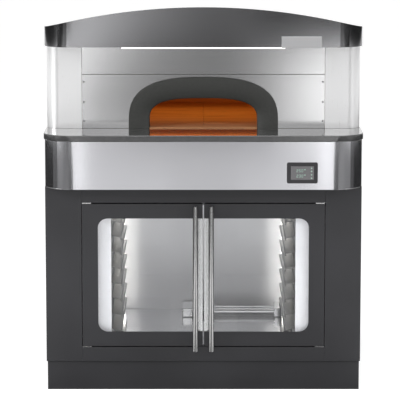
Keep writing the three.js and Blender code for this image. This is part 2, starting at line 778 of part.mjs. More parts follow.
const vaultBack = rearPanelFront - REAR_SPACE - END_WALL - GAP;
const chamberLength = vaultBack - vaultFront;

function vaultArch(margin) {
  const legs = vaultSpringing - vaultFoot;
  return archPoints(vaultHalf + margin, legs, VAULT_RISE + margin, VAULT_POWER, vaultFoot);
}

function bakingChamber() {
  const outside = vaultArch(VAULT_SHEET);
  const inside = vaultArch(0);
  const front = new THREE.Shape(outside);
  front.holes.push(new THREE.Path(mouthArch(0, deckTop)));
  piece("chamber_front_wall", "refractory", carriedBack(front, [vaultFront - GAP - END_WALL, vaultFront - GAP]));
  const rear = new THREE.Shape(outside);
  piece("chamber_rear_wall", "refractory", carriedBack(rear, [vaultBack + GAP, vaultBack + GAP + END_WALL]));

  const reach = halfWidthAt(inside, roofRodHeight + ROD_RADIUS) - ROD_END_GAP;
  const pitch = chamberLength / (ROOF_RODS + 1);
  const roofRods = [];
  for (let i = 1; i <= ROOF_RODS; i++)
    roofRods.push(barAlongX(ROD_RADIUS, [-reach, reach], vaultFront + i * pitch, roofRodHeight));
  const strapYs = [vaultFront + pitch, vaultFront + ROOF_RODS * pitch];
  const strapZs = [roofRodHeight, roofRodHeight + STRAP_SHEET];
  const straps = SIDES.map(([side]) => box(span(side, ROOF_STRAP_X, ROOF_STRAP_X + STRAP_WIDTH), strapYs, strapZs));
  piece("roof_elements", "element", join(...roofRods, ...straps));
  const ring = new THREE.Shape([...outside, ...inside.reverse()]);
  piece("chamber_vault", "stainless", carriedBack(ring, [vaultFront, vaultBack]));
}

function deck() {
  const half = vaultHalf - GAP;
  const ys = [vaultFront + GAP, vaultBack - GAP];
  const frameZs = [vaultFoot, deckTop - STONE];
  const bay = [RAIL_WIDTH / 2, half - RAIL_WIDTH];
  const bayYs = [ys[0] + RAIL_WIDTH, ys[1] - RAIL_WIDTH];
  const bayZs = [frameZs[0] - OVERRUN, frameZs[1] + OVERRUN];
  const bays = SIDES.map(([side]) => box(span(side, ...bay), bayYs, bayZs));
  piece("deck_frame", "stainless", cut(box([-half, half], ys, frameZs), ...bays));

  const rodYs = [bayYs[0] + GAP, bayYs[1] - GAP];
  const rodPitch = (bay[1] - bay[0]) / RODS_PER_BAY;
  const strapFronts = [rodYs[0] + FLOOR_STRAP_INSET, rodYs[1] - FLOOR_STRAP_INSET - STRAP_WIDTH];
  for (const [side, name] of SIDES) {
    const stoneZs = [deckTop - STONE + GAP, deckTop];
    piece(`deck_stone_${name}`, "refractory", box(span(side, GAP, half), ys, stoneZs));
    const rods = [];
    for (let i = 0; i < RODS_PER_BAY; i++) {
      const x = side * (bay[0] + (i + 0.5) * rodPitch);
      rods.push(barAlongY(ROD_RADIUS, x, rodYs, vaultFoot + ROD_RADIUS));
    }
    const strapXs = span(side, bay[0] + GAP, bay[1] - GAP);
    const strapZs = [vaultFoot, vaultFoot + STRAP_SHEET];
    const straps = strapFronts.map((y) => box(strapXs, [y, y + STRAP_WIDTH], strapZs));
    piece(`floor_elements_${name}`, "element", join(...rods, ...straps));
  }
}

function insulation() {
  const crown = vaultSpringing + VAULT_RISE + VAULT_SHEET;
  const inner = vaultOuter + GAP;
  const outer = inner + WOOL;
  const wool = rectangle([-outer, outer], [bandBottom + SHEET + GAP, crown + WOOL]);
  wool.holes.push(rectangle([-inner, inner], [vaultFoot - GAP, crown + GAP]));
  const ys = [vaultFront - GAP - END_WALL, vaultBack + GAP + END_WALL];
  piece("oven_insulation", "insulation", carriedBack(wool, ys));
}

// Oven face, wings and rear

const SEAM_GAP = 1.6;
const WING_SIDE_GAP = 1;
const STRIP_INSET = 190;
const STRIP_HEIGHT = 12;
const STRIP_BELOW_HOOD = 25;
const STRIP_PROUD = 10;
const stripHalf = faceHalf - STRIP_INSET;
const stripBottom = hoodBottom - STRIP_BELOW_HOOD;
const stripTop = stripBottom + STRIP_HEIGHT;

function ovenFace() {
  const across = [-faceHalf, faceHalf];
  const ys = [faceFront, faceFront + SHEET];
  const opening = new THREE.Shape(mouthArch(MOUTH_WALL + GAP, worktopTop - OVERRUN));
  const cutter = carriedBack(opening, [faceFront - OVERRUN, faceFront + SHEET + OVERRUN]);
  piece("face_lower", "stainless", cut(box(across, ys, [mouthFoot, seamHeight]), cutter));
  piece("face_upper", "stainless", box(across, ys, [seamHeight + SEAM_GAP, hoodBottom - GAP]));
  const stripYs = [faceFront - GAP - STRIP_PROUD, faceFront - GAP];
  piece("light_strip", "lamp", box([-stripHalf, stripHalf], stripYs, [stripBottom, stripTop]));
}

// A wing's plan, from its inner front edge round the corner and back under the hood's side.
function wingPath(side, inset) {
  const centre = hoodHalf - WING_RADIUS;
  const points = [
    new THREE.Vector2(faceHalf + WING_SIDE_GAP, faceFront + inset),
    ...quarterTurn(centre, faceFront + WING_RADIUS, WING_RADIUS - inset, -Math.PI / 2),
    new THREE.Vector2(hoodHalf - inset, hoodBack),
  ];
  return points.map((point) => new THREE.Vector2(side * point.x, point.y));
}

function wings() {
  for (const [side, name] of SIDES) {
    const front = standingSheet(wingPath(side, 0), wingPath(side, SHEET), mouthFoot, () => hoodBottom - GAP);
    const xs = span(side, hoodHalf - SHEET, hoodHalf);
    const rear = box(xs, [hoodBack - OVERRUN, bodyBack], [mouthFoot, rearTop]);
    const skirt = box(xs, [worktopBack + GAP, bodyBack], [worktopBottom + GAP, mouthFoot + OVERRUN]);
    piece(`wing_${name}`, "polished", join(front, rear, skirt));
  }
  const rearZs = [bandBottom + GAP, rearTop];
  piece("oven_rear_panel", "stainless", box([-hoodHalf, hoodHalf], [rearPanelFront, DEPTH / 2], rearZs));
}

// Hood, roof and what they carry

const HOOD_FRONT_STEPS = 16;
const PLATE_FROM_SIDE = 197;
const PLATE_WIDTH = 188;
const PLATE_DROP = 3; // below the hood's foot
const PLATE_HEIGHT = 54;
const PLATE_THICKNESS = 2;
const COLLAR_RADIUS = 75;
const COLLAR_HEIGHT = 100;
const COLLAR_FROM_BACK = 250;
const GLAND_FROM_SIDE = 250;
const GLAND_FROM_BACK = 90;
const GLAND_RADIUS = 16;
const GLAND_BORE = 9;
const GLAND_NUT = 23;
const GLAND_NUT_HEIGHT = 12;
const GLAND_ABOVE = 34;
const GLAND_BELOW = 10;
const NUT_SIDES = 6;
const plateLeft = hoodHalf - PLATE_FROM_SIDE - PLATE_WIDTH;
const plateBottom = hoodBottom - PLATE_DROP;
const glandX = GLAND_FROM_SIDE - hoodHalf;
const collarY = DEPTH / 2 - COLLAR_FROM_BACK;
const glandY = DEPTH / 2 - GLAND_FROM_BACK;

// The fascia's top edge is one arc, and its side returns fall back to the roof.
function fasciaTop(point) {
  if (point.y >= hoodBack) return roofTop;
  const drop = hoodTop - hoodCornerTop;
  const radius = (hoodHalf ** 2 + drop ** 2) / (2 * drop);
  return hoodTop - radius + Math.sqrt(radius ** 2 - point.x ** 2);
}

function hood() {
  const fasciaPath = (inset) =>
    roundFrontedU(hoodHalf - inset, hoodFront + inset, hoodBack, HOOD_RADIUS - inset, HOOD_FRONT_STEPS);
  piece("hood_fascia", "dark_paint", standingSheet(fasciaPath(0), fasciaPath(SHEET), hoodBottom, fasciaTop));

  const inset = SHEET + GAP;
  const half = hoodHalf - inset;
  const across = [-half, half];
  const stepFront = hoodBack - SHEET;
  const plan = new THREE.Shape(roundFrontedU(half, hoodFront + inset, hoodBack, HOOD_RADIUS - inset));
  const roof = raisedPlan(plan, [roofTop - SHEET, roofTop]);
  const underside = raisedPlan(plan, [hoodBottom, hoodBottom + SHEET]);
  const step = box(across, [stepFront, hoodBack], [rearTop - SHEET, roofTop]);
  const rearDeck = box(across, [stepFront, bodyBack], [rearTop - SHEET, rearTop]);
  const holeZs = [rearTop - SHEET - OVERRUN, rearTop + OVERRUN];
  const flueHole = barAlongZ(COLLAR_RADIUS - SHEET, 0, collarY, holeZs);
  const glandHole = barAlongZ(GLAND_RADIUS + GAP, glandX, glandY, holeZs);
  piece("top_cover", "dark_paint", cut(join(roof, underside, step, rearDeck), flueHole, glandHole));

  const plateYs = [hoodFront - GAP - PLATE_THICKNESS, hoodFront - GAP];
  const plateZs = [plateBottom, plateBottom + PLATE_HEIGHT];
  piece("name_plate", "polished", box([plateLeft, plateLeft + PLATE_WIDTH], plateYs, plateZs));
}

function rearFittings() {
  const collarZs = [rearTop + GAP, rearTop + COLLAR_HEIGHT];
  const duct = barAlongZ(COLLAR_RADIUS, 0, collarY, collarZs);
  const bore = barAlongZ(COLLAR_RADIUS - SHEET, 0, collarY, [rearTop - OVERRUN, collarZs[1] + OVERRUN]);
  piece("exhaust_collar", "stainless", cut(duct, bore));

  const nut = barAlongZ(GLAND_NUT, glandX, glandY, [rearTop + GAP, rearTop + GLAND_NUT_HEIGHT], NUT_SIDES);
  const sleeveZs = [rearTop - GLAND_BELOW, rearTop + GLAND_ABOVE];
  const sleeve = barAlongZ(GLAND_RADIUS, glandX, glandY, sleeveZs);
  const throat = barAlongZ(GLAND_BORE, glandX, glandY, [sleeveZs[0] - OVERRUN, sleeveZs[1] + OVERRUN]);
  piece("mains_gland", "black_plastic", cut(join(nut, sleeve), throat));
}

plinth();
cabinetShell();
chamberLiner();
chamberFittings();
hingesAndCatch();
door(-1, "left");
door(1, "right");
controlBand();
worktop();
mouth();
bakingChamber();
deck();
insulation();
ovenFace();
wings();
hood();
rearFittings();

export default oven;
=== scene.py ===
import math

import bmesh
import bpy
from mathutils import Matrix, Vector

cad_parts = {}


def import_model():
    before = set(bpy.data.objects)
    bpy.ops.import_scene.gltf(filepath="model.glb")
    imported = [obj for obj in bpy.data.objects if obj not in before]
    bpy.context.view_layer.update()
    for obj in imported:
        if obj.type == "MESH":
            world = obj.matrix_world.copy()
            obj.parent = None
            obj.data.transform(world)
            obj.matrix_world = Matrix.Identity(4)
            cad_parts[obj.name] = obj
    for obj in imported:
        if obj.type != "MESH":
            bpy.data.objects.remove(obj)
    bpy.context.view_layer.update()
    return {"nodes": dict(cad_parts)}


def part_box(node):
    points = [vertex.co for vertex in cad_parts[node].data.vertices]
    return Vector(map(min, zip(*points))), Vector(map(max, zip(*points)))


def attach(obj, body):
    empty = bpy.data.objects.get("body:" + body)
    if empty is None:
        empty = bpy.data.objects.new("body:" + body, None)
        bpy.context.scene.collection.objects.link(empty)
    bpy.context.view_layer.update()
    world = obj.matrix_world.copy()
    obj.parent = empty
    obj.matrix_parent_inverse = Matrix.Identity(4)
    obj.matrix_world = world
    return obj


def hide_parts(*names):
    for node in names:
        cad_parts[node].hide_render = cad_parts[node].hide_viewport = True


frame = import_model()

nodes = frame["nodes"]
BODY = "oven_body"
SIDES = [(-1, "left"), (1, "right")]

# The camera, which looks a little down on the front from far off

CAMERA_DISTANCE = 11.0
CAMERA_HEIGHT = 2.635
CAMERA_OFFSET = -0.016
CAMERA_TILT = math.radians(8.56)
CAMERA_LENS = 213.6
CAMERA_SENSOR = 36
CAMERA_SHIFT = -0.02
CAMERA_REACH = 60


def place_camera():
    view = bpy.data.cameras.new("camera")
    view.lens = CAMERA_LENS
    view.sensor_width = CAMERA_SENSOR
    view.shift_y = CAMERA_SHIFT
    view.clip_end = CAMERA_REACH
    camera = bpy.data.objects.new("camera", view)
    worktop_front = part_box("worktop")[0].y
    camera.location = (CAMERA_OFFSET, worktop_front - CAMERA_DISTANCE, CAMERA_HEIGHT)
    camera.rotation_euler = (math.pi / 2 - CAMERA_TILT, 0, 0)
    bpy.context.scene.collection.objects.link(camera)
    bpy.context.scene.camera = camera


place_camera()

# Materials

GRAIN = 900.0
GRAIN_ALONG = 6.0
CLOUDS = 3.0
CLOUDS_ALONG = 1.2
SCRATCH_DEPTH = 0.00001
PEEL_GRAIN = 420.0
PEEL_DEPTH = 0.0002
MOULD_GRAIN = 700.0
MOULD_PATCHES = 9.0
MOULD_DEPTH = 0.0001
LIT_GRAIN = (30.0, 30.0, 3.0)
LIT_ROUGHNESS = 0.4
WIPING_MARKS = (5.0, 5.0, 12.0)
WIPED_ROUGHNESS = 0.03
GLASS_IOR = 1.45
GLASS_SHADOW = (0.95, 0.955, 0.965, 1)
NOISE_LOW = 0.3  # where most of a noise's values begin
NOISE_HIGH = 0.7  # and where they end
METAL_SWING_SHARE = 0.1  # how far the roughness strays from its own value
PAINT_SWING_SHARE = 0.08
ROUGH_SWING_SHARE = 0.15
UPRIGHT_TURN = 0.25  # stretches the reflections up and down


def new_material(name):
    """A fresh material, its node tree and its shader."""
    material = bpy.data.materials.new(name)
    material.use_nodes = True
    tree = material.node_tree
    return material, tree, tree.nodes["Principled BSDF"]


def object_coordinates(tree, scale):
    """Object coordinates stretched along the axes."""
    source = tree.nodes.new("ShaderNodeTexCoord")
    mapping = tree.nodes.new("ShaderNodeMapping")
    mapping.inputs["Scale"].default_value = scale
    tree.links.new(source.outputs["Object"], mapping.inputs["Vector"])
    return mapping.outputs["Vector"]


def noise(tree, scale, detail=3.0, roughness=0.5):
    """A noise value over the object, with one scale for each axis."""
    texture = tree.nodes.new("ShaderNodeTexNoise")
    texture.inputs["Scale"].default_value = 1.0
    texture.inputs["Detail"].default_value = detail
    texture.inputs["Roughness"].default_value = roughness
    tree.links.new(object_coordinates(tree, scale), texture.inputs["Vector"])
    return texture.outputs["Fac"]


def spread(tree, value, low, high):
    """A value's middle range spread from low to high."""
    ranges = tree.nodes.new("ShaderNodeMapRange")
    ranges.inputs["From Min"].default_value = NOISE_LOW
    ranges.inputs["From Max"].default_value = NOISE_HIGH
    ranges.inputs["To Min"].default_value = low
    ranges.inputs["To Max"].default_value = high
    tree.links.new(value, ranges.inputs["Value"])
    return ranges.outputs["Result"]


def shades(tree, value, first, second):
    """A colour between two, by a value."""
    ramp = tree.nodes.new("ShaderNodeValToRGB")
    ramp.color_ramp.elements[0].position = NOISE_LOW
    ramp.color_ramp.elements[0].color = (*first, 1)
    ramp.color_ramp.elements[1].position = NOISE_HIGH
    ramp.color_ramp.elements[1].color = (*second, 1)
    tree.links.new(value, ramp.inputs["Fac"])
    return ramp.outputs["Color"]


def uneven_gloss(tree, shader, value, roughness, swing_share):
    """Roughness that strays from its own value by a share, and stays within one."""
    low = roughness * (1 - swing_share)
    high = min(1.0, roughness * (1 + swing_share))
    tree.links.new(spread(tree, value, low, high), shader.inputs["Roughness"])


def bump(tree, shader, value, strength, distance):
    relief = tree.nodes.new("ShaderNodeBump")
    relief.inputs["Strength"].default_value = strength
    relief.inputs["Distance"].default_value = distance
    tree.links.new(value, relief.inputs["Height"])
    tree.links.new(relief.outputs["Normal"], shader.inputs["Normal"])


def brushed_metal(name, dull, bright, roughness, along, metallic=1.0, stretch=0.0):
    """Metal with fine scratches along one axis. Stretch draws its reflections out up and down."""
    material, tree, shader = new_material(name)
    shader.inputs["Metallic"].default_value = metallic
    scratch_scale = [GRAIN if axis != along else GRAIN_ALONG for axis in "xyz"]
    cloud_scale = [CLOUDS if axis != along else CLOUDS_ALONG for axis in "xyz"]
    clouds = noise(tree, cloud_scale, detail=2.0)
    scratches = noise(tree, scratch_scale, detail=4.0, roughness=0.7)
    tree.links.new(shades(tree, clouds, dull, bright), shader.inputs["Base Color"])
    uneven_gloss(tree, shader, scratches, roughness, METAL_SWING_SHARE)
    bump(tree, shader, scratches, strength=0.1, distance=SCRATCH_DEPTH)
    if stretch:
        across = tree.nodes.new("ShaderNodeTangent")
        across.direction_type = "RADIAL"
        across.axis = "Z"
        tree.links.new(across.outputs["Tangent"], shader.inputs["Tangent"])
        shader.inputs["Anisotropic"].default_value = stretch
        shader.inputs["Anisotropic Rotation"].default_value = UPRIGHT_TURN
    return material


def painted_metal(name, first, second, roughness, metallic=0.0):
    """Powder paint with a faint orange peel."""
    material, tree, shader = new_material(name)
    shader.inputs["Metallic"].default_value = metallic
    shader.inputs["Specular IOR Level"].default_value = 0.5
    patches = noise(tree, (CLOUDS, CLOUDS, CLOUDS), detail=2.0)
    peel = noise(tree, (PEEL_GRAIN, PEEL_GRAIN, PEEL_GRAIN), detail=2.0)
    tree.links.new(shades(tree, patches, first, second), shader.inputs["Base Color"])
    uneven_gloss(tree, shader, patches, roughness, PAINT_SWING_SHARE)
    bump(tree, shader, peel, strength=0.12, distance=PEEL_DEPTH)
    return material


FINER = 8  # the small grain's scale over the large one's


def mineral(name, first, second, roughness, grain, relief, coat=0.0, coat_roughness=0.03):
    """Stone, fire clay or wool, with grain of two sizes and one scale for each axis."""
    material, tree, shader = new_material(name)
    coarse = noise(tree, grain, detail=6.0, roughness=0.6)
    fine = noise(tree, [scale * FINER for scale in grain], detail=3.0, roughness=0.6)
    tree.links.new(shades(tree, coarse, first, second), shader.inputs["Base Color"])
    uneven_gloss(tree, shader, fine, roughness, ROUGH_SWING_SHARE)
    bump(tree, shader, fine, strength=0.3, distance=relief)
    shader.inputs["Coat Weight"].default_value = coat
    shader.inputs["Coat Roughness"].default_value = coat_roughness
    return material


def moulded(name, first, second, roughness):
    """Moulded plastic or rubber with a fine even texture."""
    material, tree, shader = new_material(name)
    texture = noise(tree, (MOULD_GRAIN, MOULD_GRAIN, MOULD_GRAIN), detail=2.0)
    patches = noise(tree, (MOULD_PATCHES, MOULD_PATCHES, MOULD_PATCHES), detail=2.0)
    tree.links.new(shades(tree, patches, first, second), shader.inputs["Base Color"])
    uneven_gloss(tree, shader, texture, roughness, ROUGH_SWING_SHARE)
    bump(tree, shader, texture, strength=0.15, distance=MOULD_DEPTH)
    return material


def lit(name, colour, strength, edge):
    """A lit diffuser, a little uneven along its length."""
    material, tree, shader = new_material(name)
    uneven = noise(tree, LIT_GRAIN, detail=1.0)
    tree.links.new(shades(tree, uneven, edge, colour), shader.inputs["Emission Color"])
    tree.links.new(shades(tree, uneven, edge, colour), shader.inputs["Base Color"])
    shader.inputs["Emission Strength"].default_value = strength
    shader.inputs["Roughness"].default_value = LIT_ROUGHNESS
    return material


def door_glass():
    """Clear glass that lets the lamps through, with faint wiping marks."""
    material, tree, shader = new_material("door_glass")
    marks = noise(tree, WIPING_MARKS, detail=3.0)
    tint = shades(tree, marks, (0.975, 0.98, 0.985), (0.99, 0.995, 1.0))
    tree.links.new(spread(tree, marks, 0.0, WIPED_ROUGHNESS), shader.inputs["Roughness"])
    tree.links.new(tint, shader.inputs["Base Color"])
    shader.inputs["Transmission Weight"].default_value = 1.0
    shader.inputs["IOR"].default_value = GLASS_IOR
    path = tree.nodes.new("ShaderNodeLightPath")
    clear = tree.nodes.new("ShaderNodeBsdfTransparent")
    clear.inputs["Color"].default_value = GLASS_SHADOW
    mix = tree.nodes.new("ShaderNodeMixShader")
    tree.links.new(path.outputs["Is Shadow Ray"], mix.inputs["Fac"])
    tree.links.new(shader.outputs["BSDF"], mix.inputs[1])
    tree.links.new(clear.outputs["BSDF"], mix.inputs[2])
    tree.links.new(mix.outputs["Shader"], tree.nodes["Material Output"].inputs["Surface"])
    return material


# Paint and sheet steel, each between two shades

dark_paint = painted_metal(
    "dark_paint", (0.035, 0.035, 0.038), (0.041, 0.041, 0.045), roughness=0.40, metallic=0.25
)
hood_steel = brushed_metal(
    "hood_steel", (0.23, 0.23, 0.237), (0.25, 0.25, 0.258), roughness=0.10, along="x", stretch=0.4
)
band_steel = brushed_metal(
    "band_steel", (0.55, 0.55, 0.575), (0.58, 0.58, 0.605), roughness=0.11, along="x", stretch=0.85
)
face_steel = brushed_metal(
    "face_steel", (0.50, 0.50, 0.505), (0.53, 0.53, 0.535), roughness=0.12, along="x", stretch=0.4
)
wing_steel = brushed_metal(
    "wing_steel", (0.88, 0.88, 0.885), (0.93, 0.93, 0.935), roughness=0.3, along="z", metallic=0.75
)
panel_steel = brushed_metal(
    "panel_steel", (0.50, 0.50, 0.51), (0.56, 0.56, 0.57), roughness=0.35, along="x"
)
vault_steel = brushed_metal(
    "vault_steel", (0.55, 0.42, 0.30), (0.68, 0.52, 0.36), roughness=0.38, along="x"
)

# Steel inside the cabinet

liner_steel = brushed_metal(
    "liner_steel", (0.58, 0.58, 0.595), (0.62, 0.62, 0.635), roughness=0.38, along="x", metallic=0.85
)
floor_steel = brushed_metal(
    "floor_steel", (0.62, 0.62, 0.635), (0.66, 0.66, 0.675), roughness=0.14, along="x", metallic=0.95
)
jamb_steel = brushed_metal(
    "jamb_steel", (0.70, 0.70, 0.72), (0.74, 0.74, 0.76), roughness=0.45, along="z", metallic=0.5
)
# The racks' stainless is drawn far darker than the rest of the cabinet's: painted shade, not a darker
# steel
shaded_rack_steel = brushed_metal(
    "shaded_rack_steel", (0.10, 0.10, 0.107), (0.14, 0.14, 0.148), roughness=0.36, along="y"
)

# Steel tubes, strips and small parts

tube_steel = brushed_metal(
    "tube_steel", (0.41, 0.41, 0.41), (0.46, 0.46, 0.46), roughness=0.16, along="z"
)
small_steel = brushed_metal(
    "small_steel", (0.62, 0.62, 0.62), (0.70, 0.70, 0.70), roughness=0.2, along="x"
)
heater_steel = brushed_metal(
    "heater_steel", (0.72, 0.72, 0.72), (0.80, 0.80, 0.80), roughness=0.12, along="x"
)
screw_steel = brushed_metal(
    "screw_steel", (0.20, 0.20, 0.20), (0.28, 0.28, 0.28), roughness=0.25, along="x"
)
oxidised_steel = brushed_metal(
    "oxidised_steel", (0.16, 0.10, 0.08), (0.24, 0.16, 0.13), roughness=0.5, along="y"
)

# Stone, casting, clay and wool

worktop_stone = mineral(
    "worktop_stone",
    (0.030, 0.030, 0.031),
    (0.044, 0.044, 0.045),
    roughness=0.16,
    grain=(60.0, 60.0, 60.0),
    relief=0.00002,
    coat=1.0,
    coat_roughness=0.06,
)
cast_iron = mineral(
    "cast_iron",
    (0.028, 0.029, 0.026),
    (0.038, 0.039, 0.036),
    roughness=0.5,
    grain=(90.0, 90.0, 90.0),
    relief=0.0003,
)
fire_clay = mineral(
    "fire_clay",
    (0.36, 0.155, 0.065),
    (0.52, 0.25, 0.11),
    roughness=0.85,
    grain=(4.0, 30.0, 30.0),
    relief=0.0005,
)
wool = mineral(
    "wool",
    (0.62, 0.57, 0.40),
    (0.74, 0.70, 0.52),
    roughness=1.0,
    grain=(40.0, 40.0, 40.0),
    relief=0.002,
)

# Plastic, rubber, glass and what is lit

black_plastic = moulded("black_plastic", (0.018, 0.0175, 0.02), (0.025, 0.0245, 0.027), roughness=0.55)
screen_plastic = moulded("screen_plastic", (0.13, 0.127, 0.132), (0.155, 0.152, 0.157), roughness=0.3)
seal_rubber = moulded("seal_rubber", (0.075, 0.075, 0.08), (0.10, 0.10, 0.105), roughness=0.7)
hot_element = lit("hot_element", (1.0, 0.30, 0.04), strength=1.0, edge=(0.9, 0.2, 0.02))
cabinet_lamp = lit("cabinet_lamp", (1.0, 0.99, 0.93), strength=6.0, edge=(1.0, 0.97, 0.88))
hood_lamp = lit("hood_lamp", (1.0, 1.0, 0.98), strength=1.5, edge=(1.0, 0.98, 0.95))
screen_light = lit("screen_light", (0.30, 0.42, 0.36), strength=0.35, edge=(0.22, 0.33, 0.28))
clear_glass = door_glass()

# Making pieces

SHARP_ANGLE = 32.0  # degrees, past which an edge stays sharp
CAST_SHARP_ANGLE = 40.0
BEVEL_ANGLE = math.radians(40)
FLAT_ANGLE = math.radians(0.5)
MERGE_DISTANCE = 0.00001
FINE_EDGE = 0.0004
SHEET_EDGE = 0.0006
FOLD_EDGE = 0.0008
SOFT_STEPS = 3
ROUND_STEPS = 4
TURN_STEPS = 40
TUBE_EASE = 0.001


def body_of(node):
    for side in ("left", "right"):
        if node.startswith(f"door_{side}_"):
            return f"door_{side}"
    return BODY


def give(piece, material):
    piece.data.materials.clear()
    piece.data.materials.append(material)


def add_piece(name, mesh, material, slot, *replaced, body=BODY):
    """Adds a finished mesh as a piece that rides on a body and stands for CAD nodes."""
    piece = bpy.data.objects.new(name, mesh)
    bpy.context.scene.collection.objects.link(piece)
    give(piece, material)
    if replaced:
        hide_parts(*replaced)
    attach(piece, body)
    return piece


def mesh_from(name, vertices, faces):
    mesh = bpy.data.meshes.new(name)
    mesh.from_pydata(vertices, [], faces)
    mesh.update()
    return mesh


def smooth(mesh, angle=SHARP_ANGLE):
    """Smooth shading, with edges sharper than the angle left sharp."""
    mesh.shade_smooth()
    mesh.set_sharp_from_angle(angle=math.radians(angle))
    return mesh


def with_modifiers(mesh, *settings):
    """The mesh after modifiers, each given as its type and its settings."""
    carrier = bpy.data.objects.new("carrier", mesh)
    bpy.context.scene.collection.objects.link(carrier)
    for kind, values in settings:
        modifier = carrier.modifiers.new(kind, kind)
        for key, value in values.items():
            setattr(modifier, key, value)
    bpy.context.view_layer.update()
    evaluated = carrier.evaluated_get(bpy.context.evaluated_depsgraph_get())
    finished = bpy.data.meshes.new_from_object(evaluated)
    bpy.data.objects.remove(carrier)
    return finished


def eased(mesh, width, segments=2):
    """The mesh with its sharp edges rounded to a width."""
    bevel = {
        "width": width,
        "segments": segments,
        "limit_method": "ANGLE",
        "angle_limit": BEVEL_ANGLE,
        "use_clamp_overlap": True,
    }
    mesh.shade_smooth()
    return with_modifiers(mesh, ("BEVEL", bevel), ("WEIGHTED_NORMAL", {"weight": 100}))


def copy_of(node):
    """A merged copy of a CAD node's mesh, with its flat faces whole again."""
    source = bmesh.new()
    source.from_mesh(nodes[node].data)
    bmesh.ops.remove_doubles(source, verts=source.verts, dist=MERGE_DISTANCE)
    bmesh.ops.dissolve_limit(source, angle_limit=FLAT_ANGLE, verts=source.verts, edges=source.edges)
    mesh = bpy.data.meshes.new(node)
    source.to_mesh(mesh)
    source.free()
    return mesh


def ease_node(node, material, slot, width=FOLD_EDGE, segments=2):
    """Stands for a CAD node with the same shape and rounded edges."""
    mesh = eased(copy_of(node), width, segments)
    return add_piece(f"{node}_finished", mesh, material, slot, node, body=body_of(node))


def box_mesh(name, low, high):
    made = bmesh.new()
    bmesh.ops.create_cube(made, size=1)
    size = [b - a for a, b in zip(low, high)]
    middle = [(a + b) / 2 for a, b in zip(low, high)]
    place = Matrix.Translation(middle) @ Matrix.Diagonal((*size, 1))
    bmesh.ops.transform(made, matrix=place, verts=made.verts)
    mesh = bpy.data.meshes.new(name)
    made.to_mesh(mesh)
    made.free()
    return mesh


def joined(name, meshes):
    """Several meshes as one, with the shading of each kept."""
    carriers = [bpy.data.objects.new(name, mesh) for mesh in meshes]
    for carrier in carriers:
        bpy.context.scene.collection.objects.link(carrier)
    with bpy.context.temp_override(active_object=carriers[0], selected_editable_objects=carriers):
        bpy.ops.object.join()
    whole = carriers[0].data
    bpy.data.objects.remove(carriers[0])
    return whole


def turned(profile, axis_from, axis_to, steps=TURN_STEPS):
    """A turned solid. Each profile point is a share of the axis's length and a radius."""
    start = Vector(axis_from)
    line = Vector(axis_to) - start
    turn = line.to_track_quat("Z", "Y").to_matrix().to_4x4()
    place = Matrix.Translation(start) @ turn
    vertices = []
    faces = []
    for along, radius in profile:
        for i in range(steps):
            angle = 2 * math.pi * i / steps
            across = (radius * math.cos(angle), radius * math.sin(angle))
            point = Vector((*across, along * line.length))
            vertices.append(place @ point)
    for ring in range(len(profile) - 1):
        for i in range(steps):
            a = ring * steps + i
            b = ring * steps + (i + 1) % steps
            faces.append((a, b, b + steps, a + steps))
    last = (len(profile) - 1) * steps
    faces.append(tuple(reversed(range(steps))))
    faces.append(tuple(last + i for i in range(steps)))
    return smooth(mesh_from("turned", vertices, faces))


def tube(radius, axis_from, axis_to, ease=TUBE_EASE, steps=TURN_STEPS):
    """A round bar with eased ends."""
    length = (Vector(axis_to) - Vector(axis_from)).length
    ease_share = ease / length
    inner = radius - ease
    profile = [(0, inner), (ease_share, radius), (1 - ease_share, radius), (1, inner)]
    return turned(profile, axis_from, axis_to, steps)


def turned_in(mesh):
    """Turns a closed mesh's faces outwards."""
    made = bmesh.new()
    made.from_mesh(mesh)
    bmesh.ops.recalc_face_normals(made, faces=made.faces)
    made.to_mesh(mesh)
    made.free()
    return mesh


# Sheets and slabs that follow a plan

CORNER_STEPS = 24


def quarter_turn(x, y, radius, start):
    points = []
    for i in range(CORNER_STEPS + 1):
        angle = start + i / CORNER_STEPS * math.pi / 2
        points.append((x + radius * math.cos(angle), y + radius * math.sin(angle)))
    return points


def round_fronted(half, front, back, radius, front_steps=1):
    """Plan points of a U with round front corners, from the left back to the right back."""
    flat = []
    for i in range(1, front_steps):
        flat.append(((half - radius) * (2 * i / front_steps - 1), front))
    left = quarter_turn(-half + radius, front + radius, radius, math.pi)
    right = quarter_turn(half - radius, front + radius, radius, math.pi * 1.5)
    return [(-half, back), *left, *flat, *right, (half, back)]


def standing_sheet(outer, inner, foot, top_at):
    """A sheet that stands along a plan path, with a top height for each outer point."""
    vertices = []
    faces = []
    for near, far in zip(outer, inner):
        top = top_at(near)
        vertices += [(*near, foot), (*near, top), (*far, top), (*far, foot)]
    count = len(outer)
    for row in range(count - 1):
        for k in range(4):
            a = row * 4 + k
            b = row * 4 + (k + 1) % 4
            faces.append((a, b, b + 4, a + 4))
    faces.append((0, 1, 2, 3))
    last = (count - 1) * 4
    faces.append((last + 3, last + 2, last + 1, last))
    return turned_in(mesh_from("sheet", vertices, faces))


def slab(plan, foot, top):
    """A flat slab with a plan outline."""
    count = len(plan)
    vertices = [(*point, foot) for point in plan] + [(*point, top) for point in plan]
    faces = [tuple(range(count)), tuple(range(2 * count - 1, count - 1, -1))]
    for i in range(count):
        j = (i + 1) % count
        faces.append((i, j, count + j, count + i))
    return turned_in(mesh_from("slab", vertices, faces))


# Plain casings, eased from their CAD solids

PAINTED = [
    "plinth",
    "front_post_left",
    "front_post_right",
    "side_panel_left",
    "side_panel_right",
    "bottom_rail",
    "top_rail",
    "rear_panel",
    "door_left_frame",
    "door_right_frame",
    "top_cover",
]
STAINLESS = ["band_underside", "electrics_box", "deck_frame", "oven_rear_panel"]


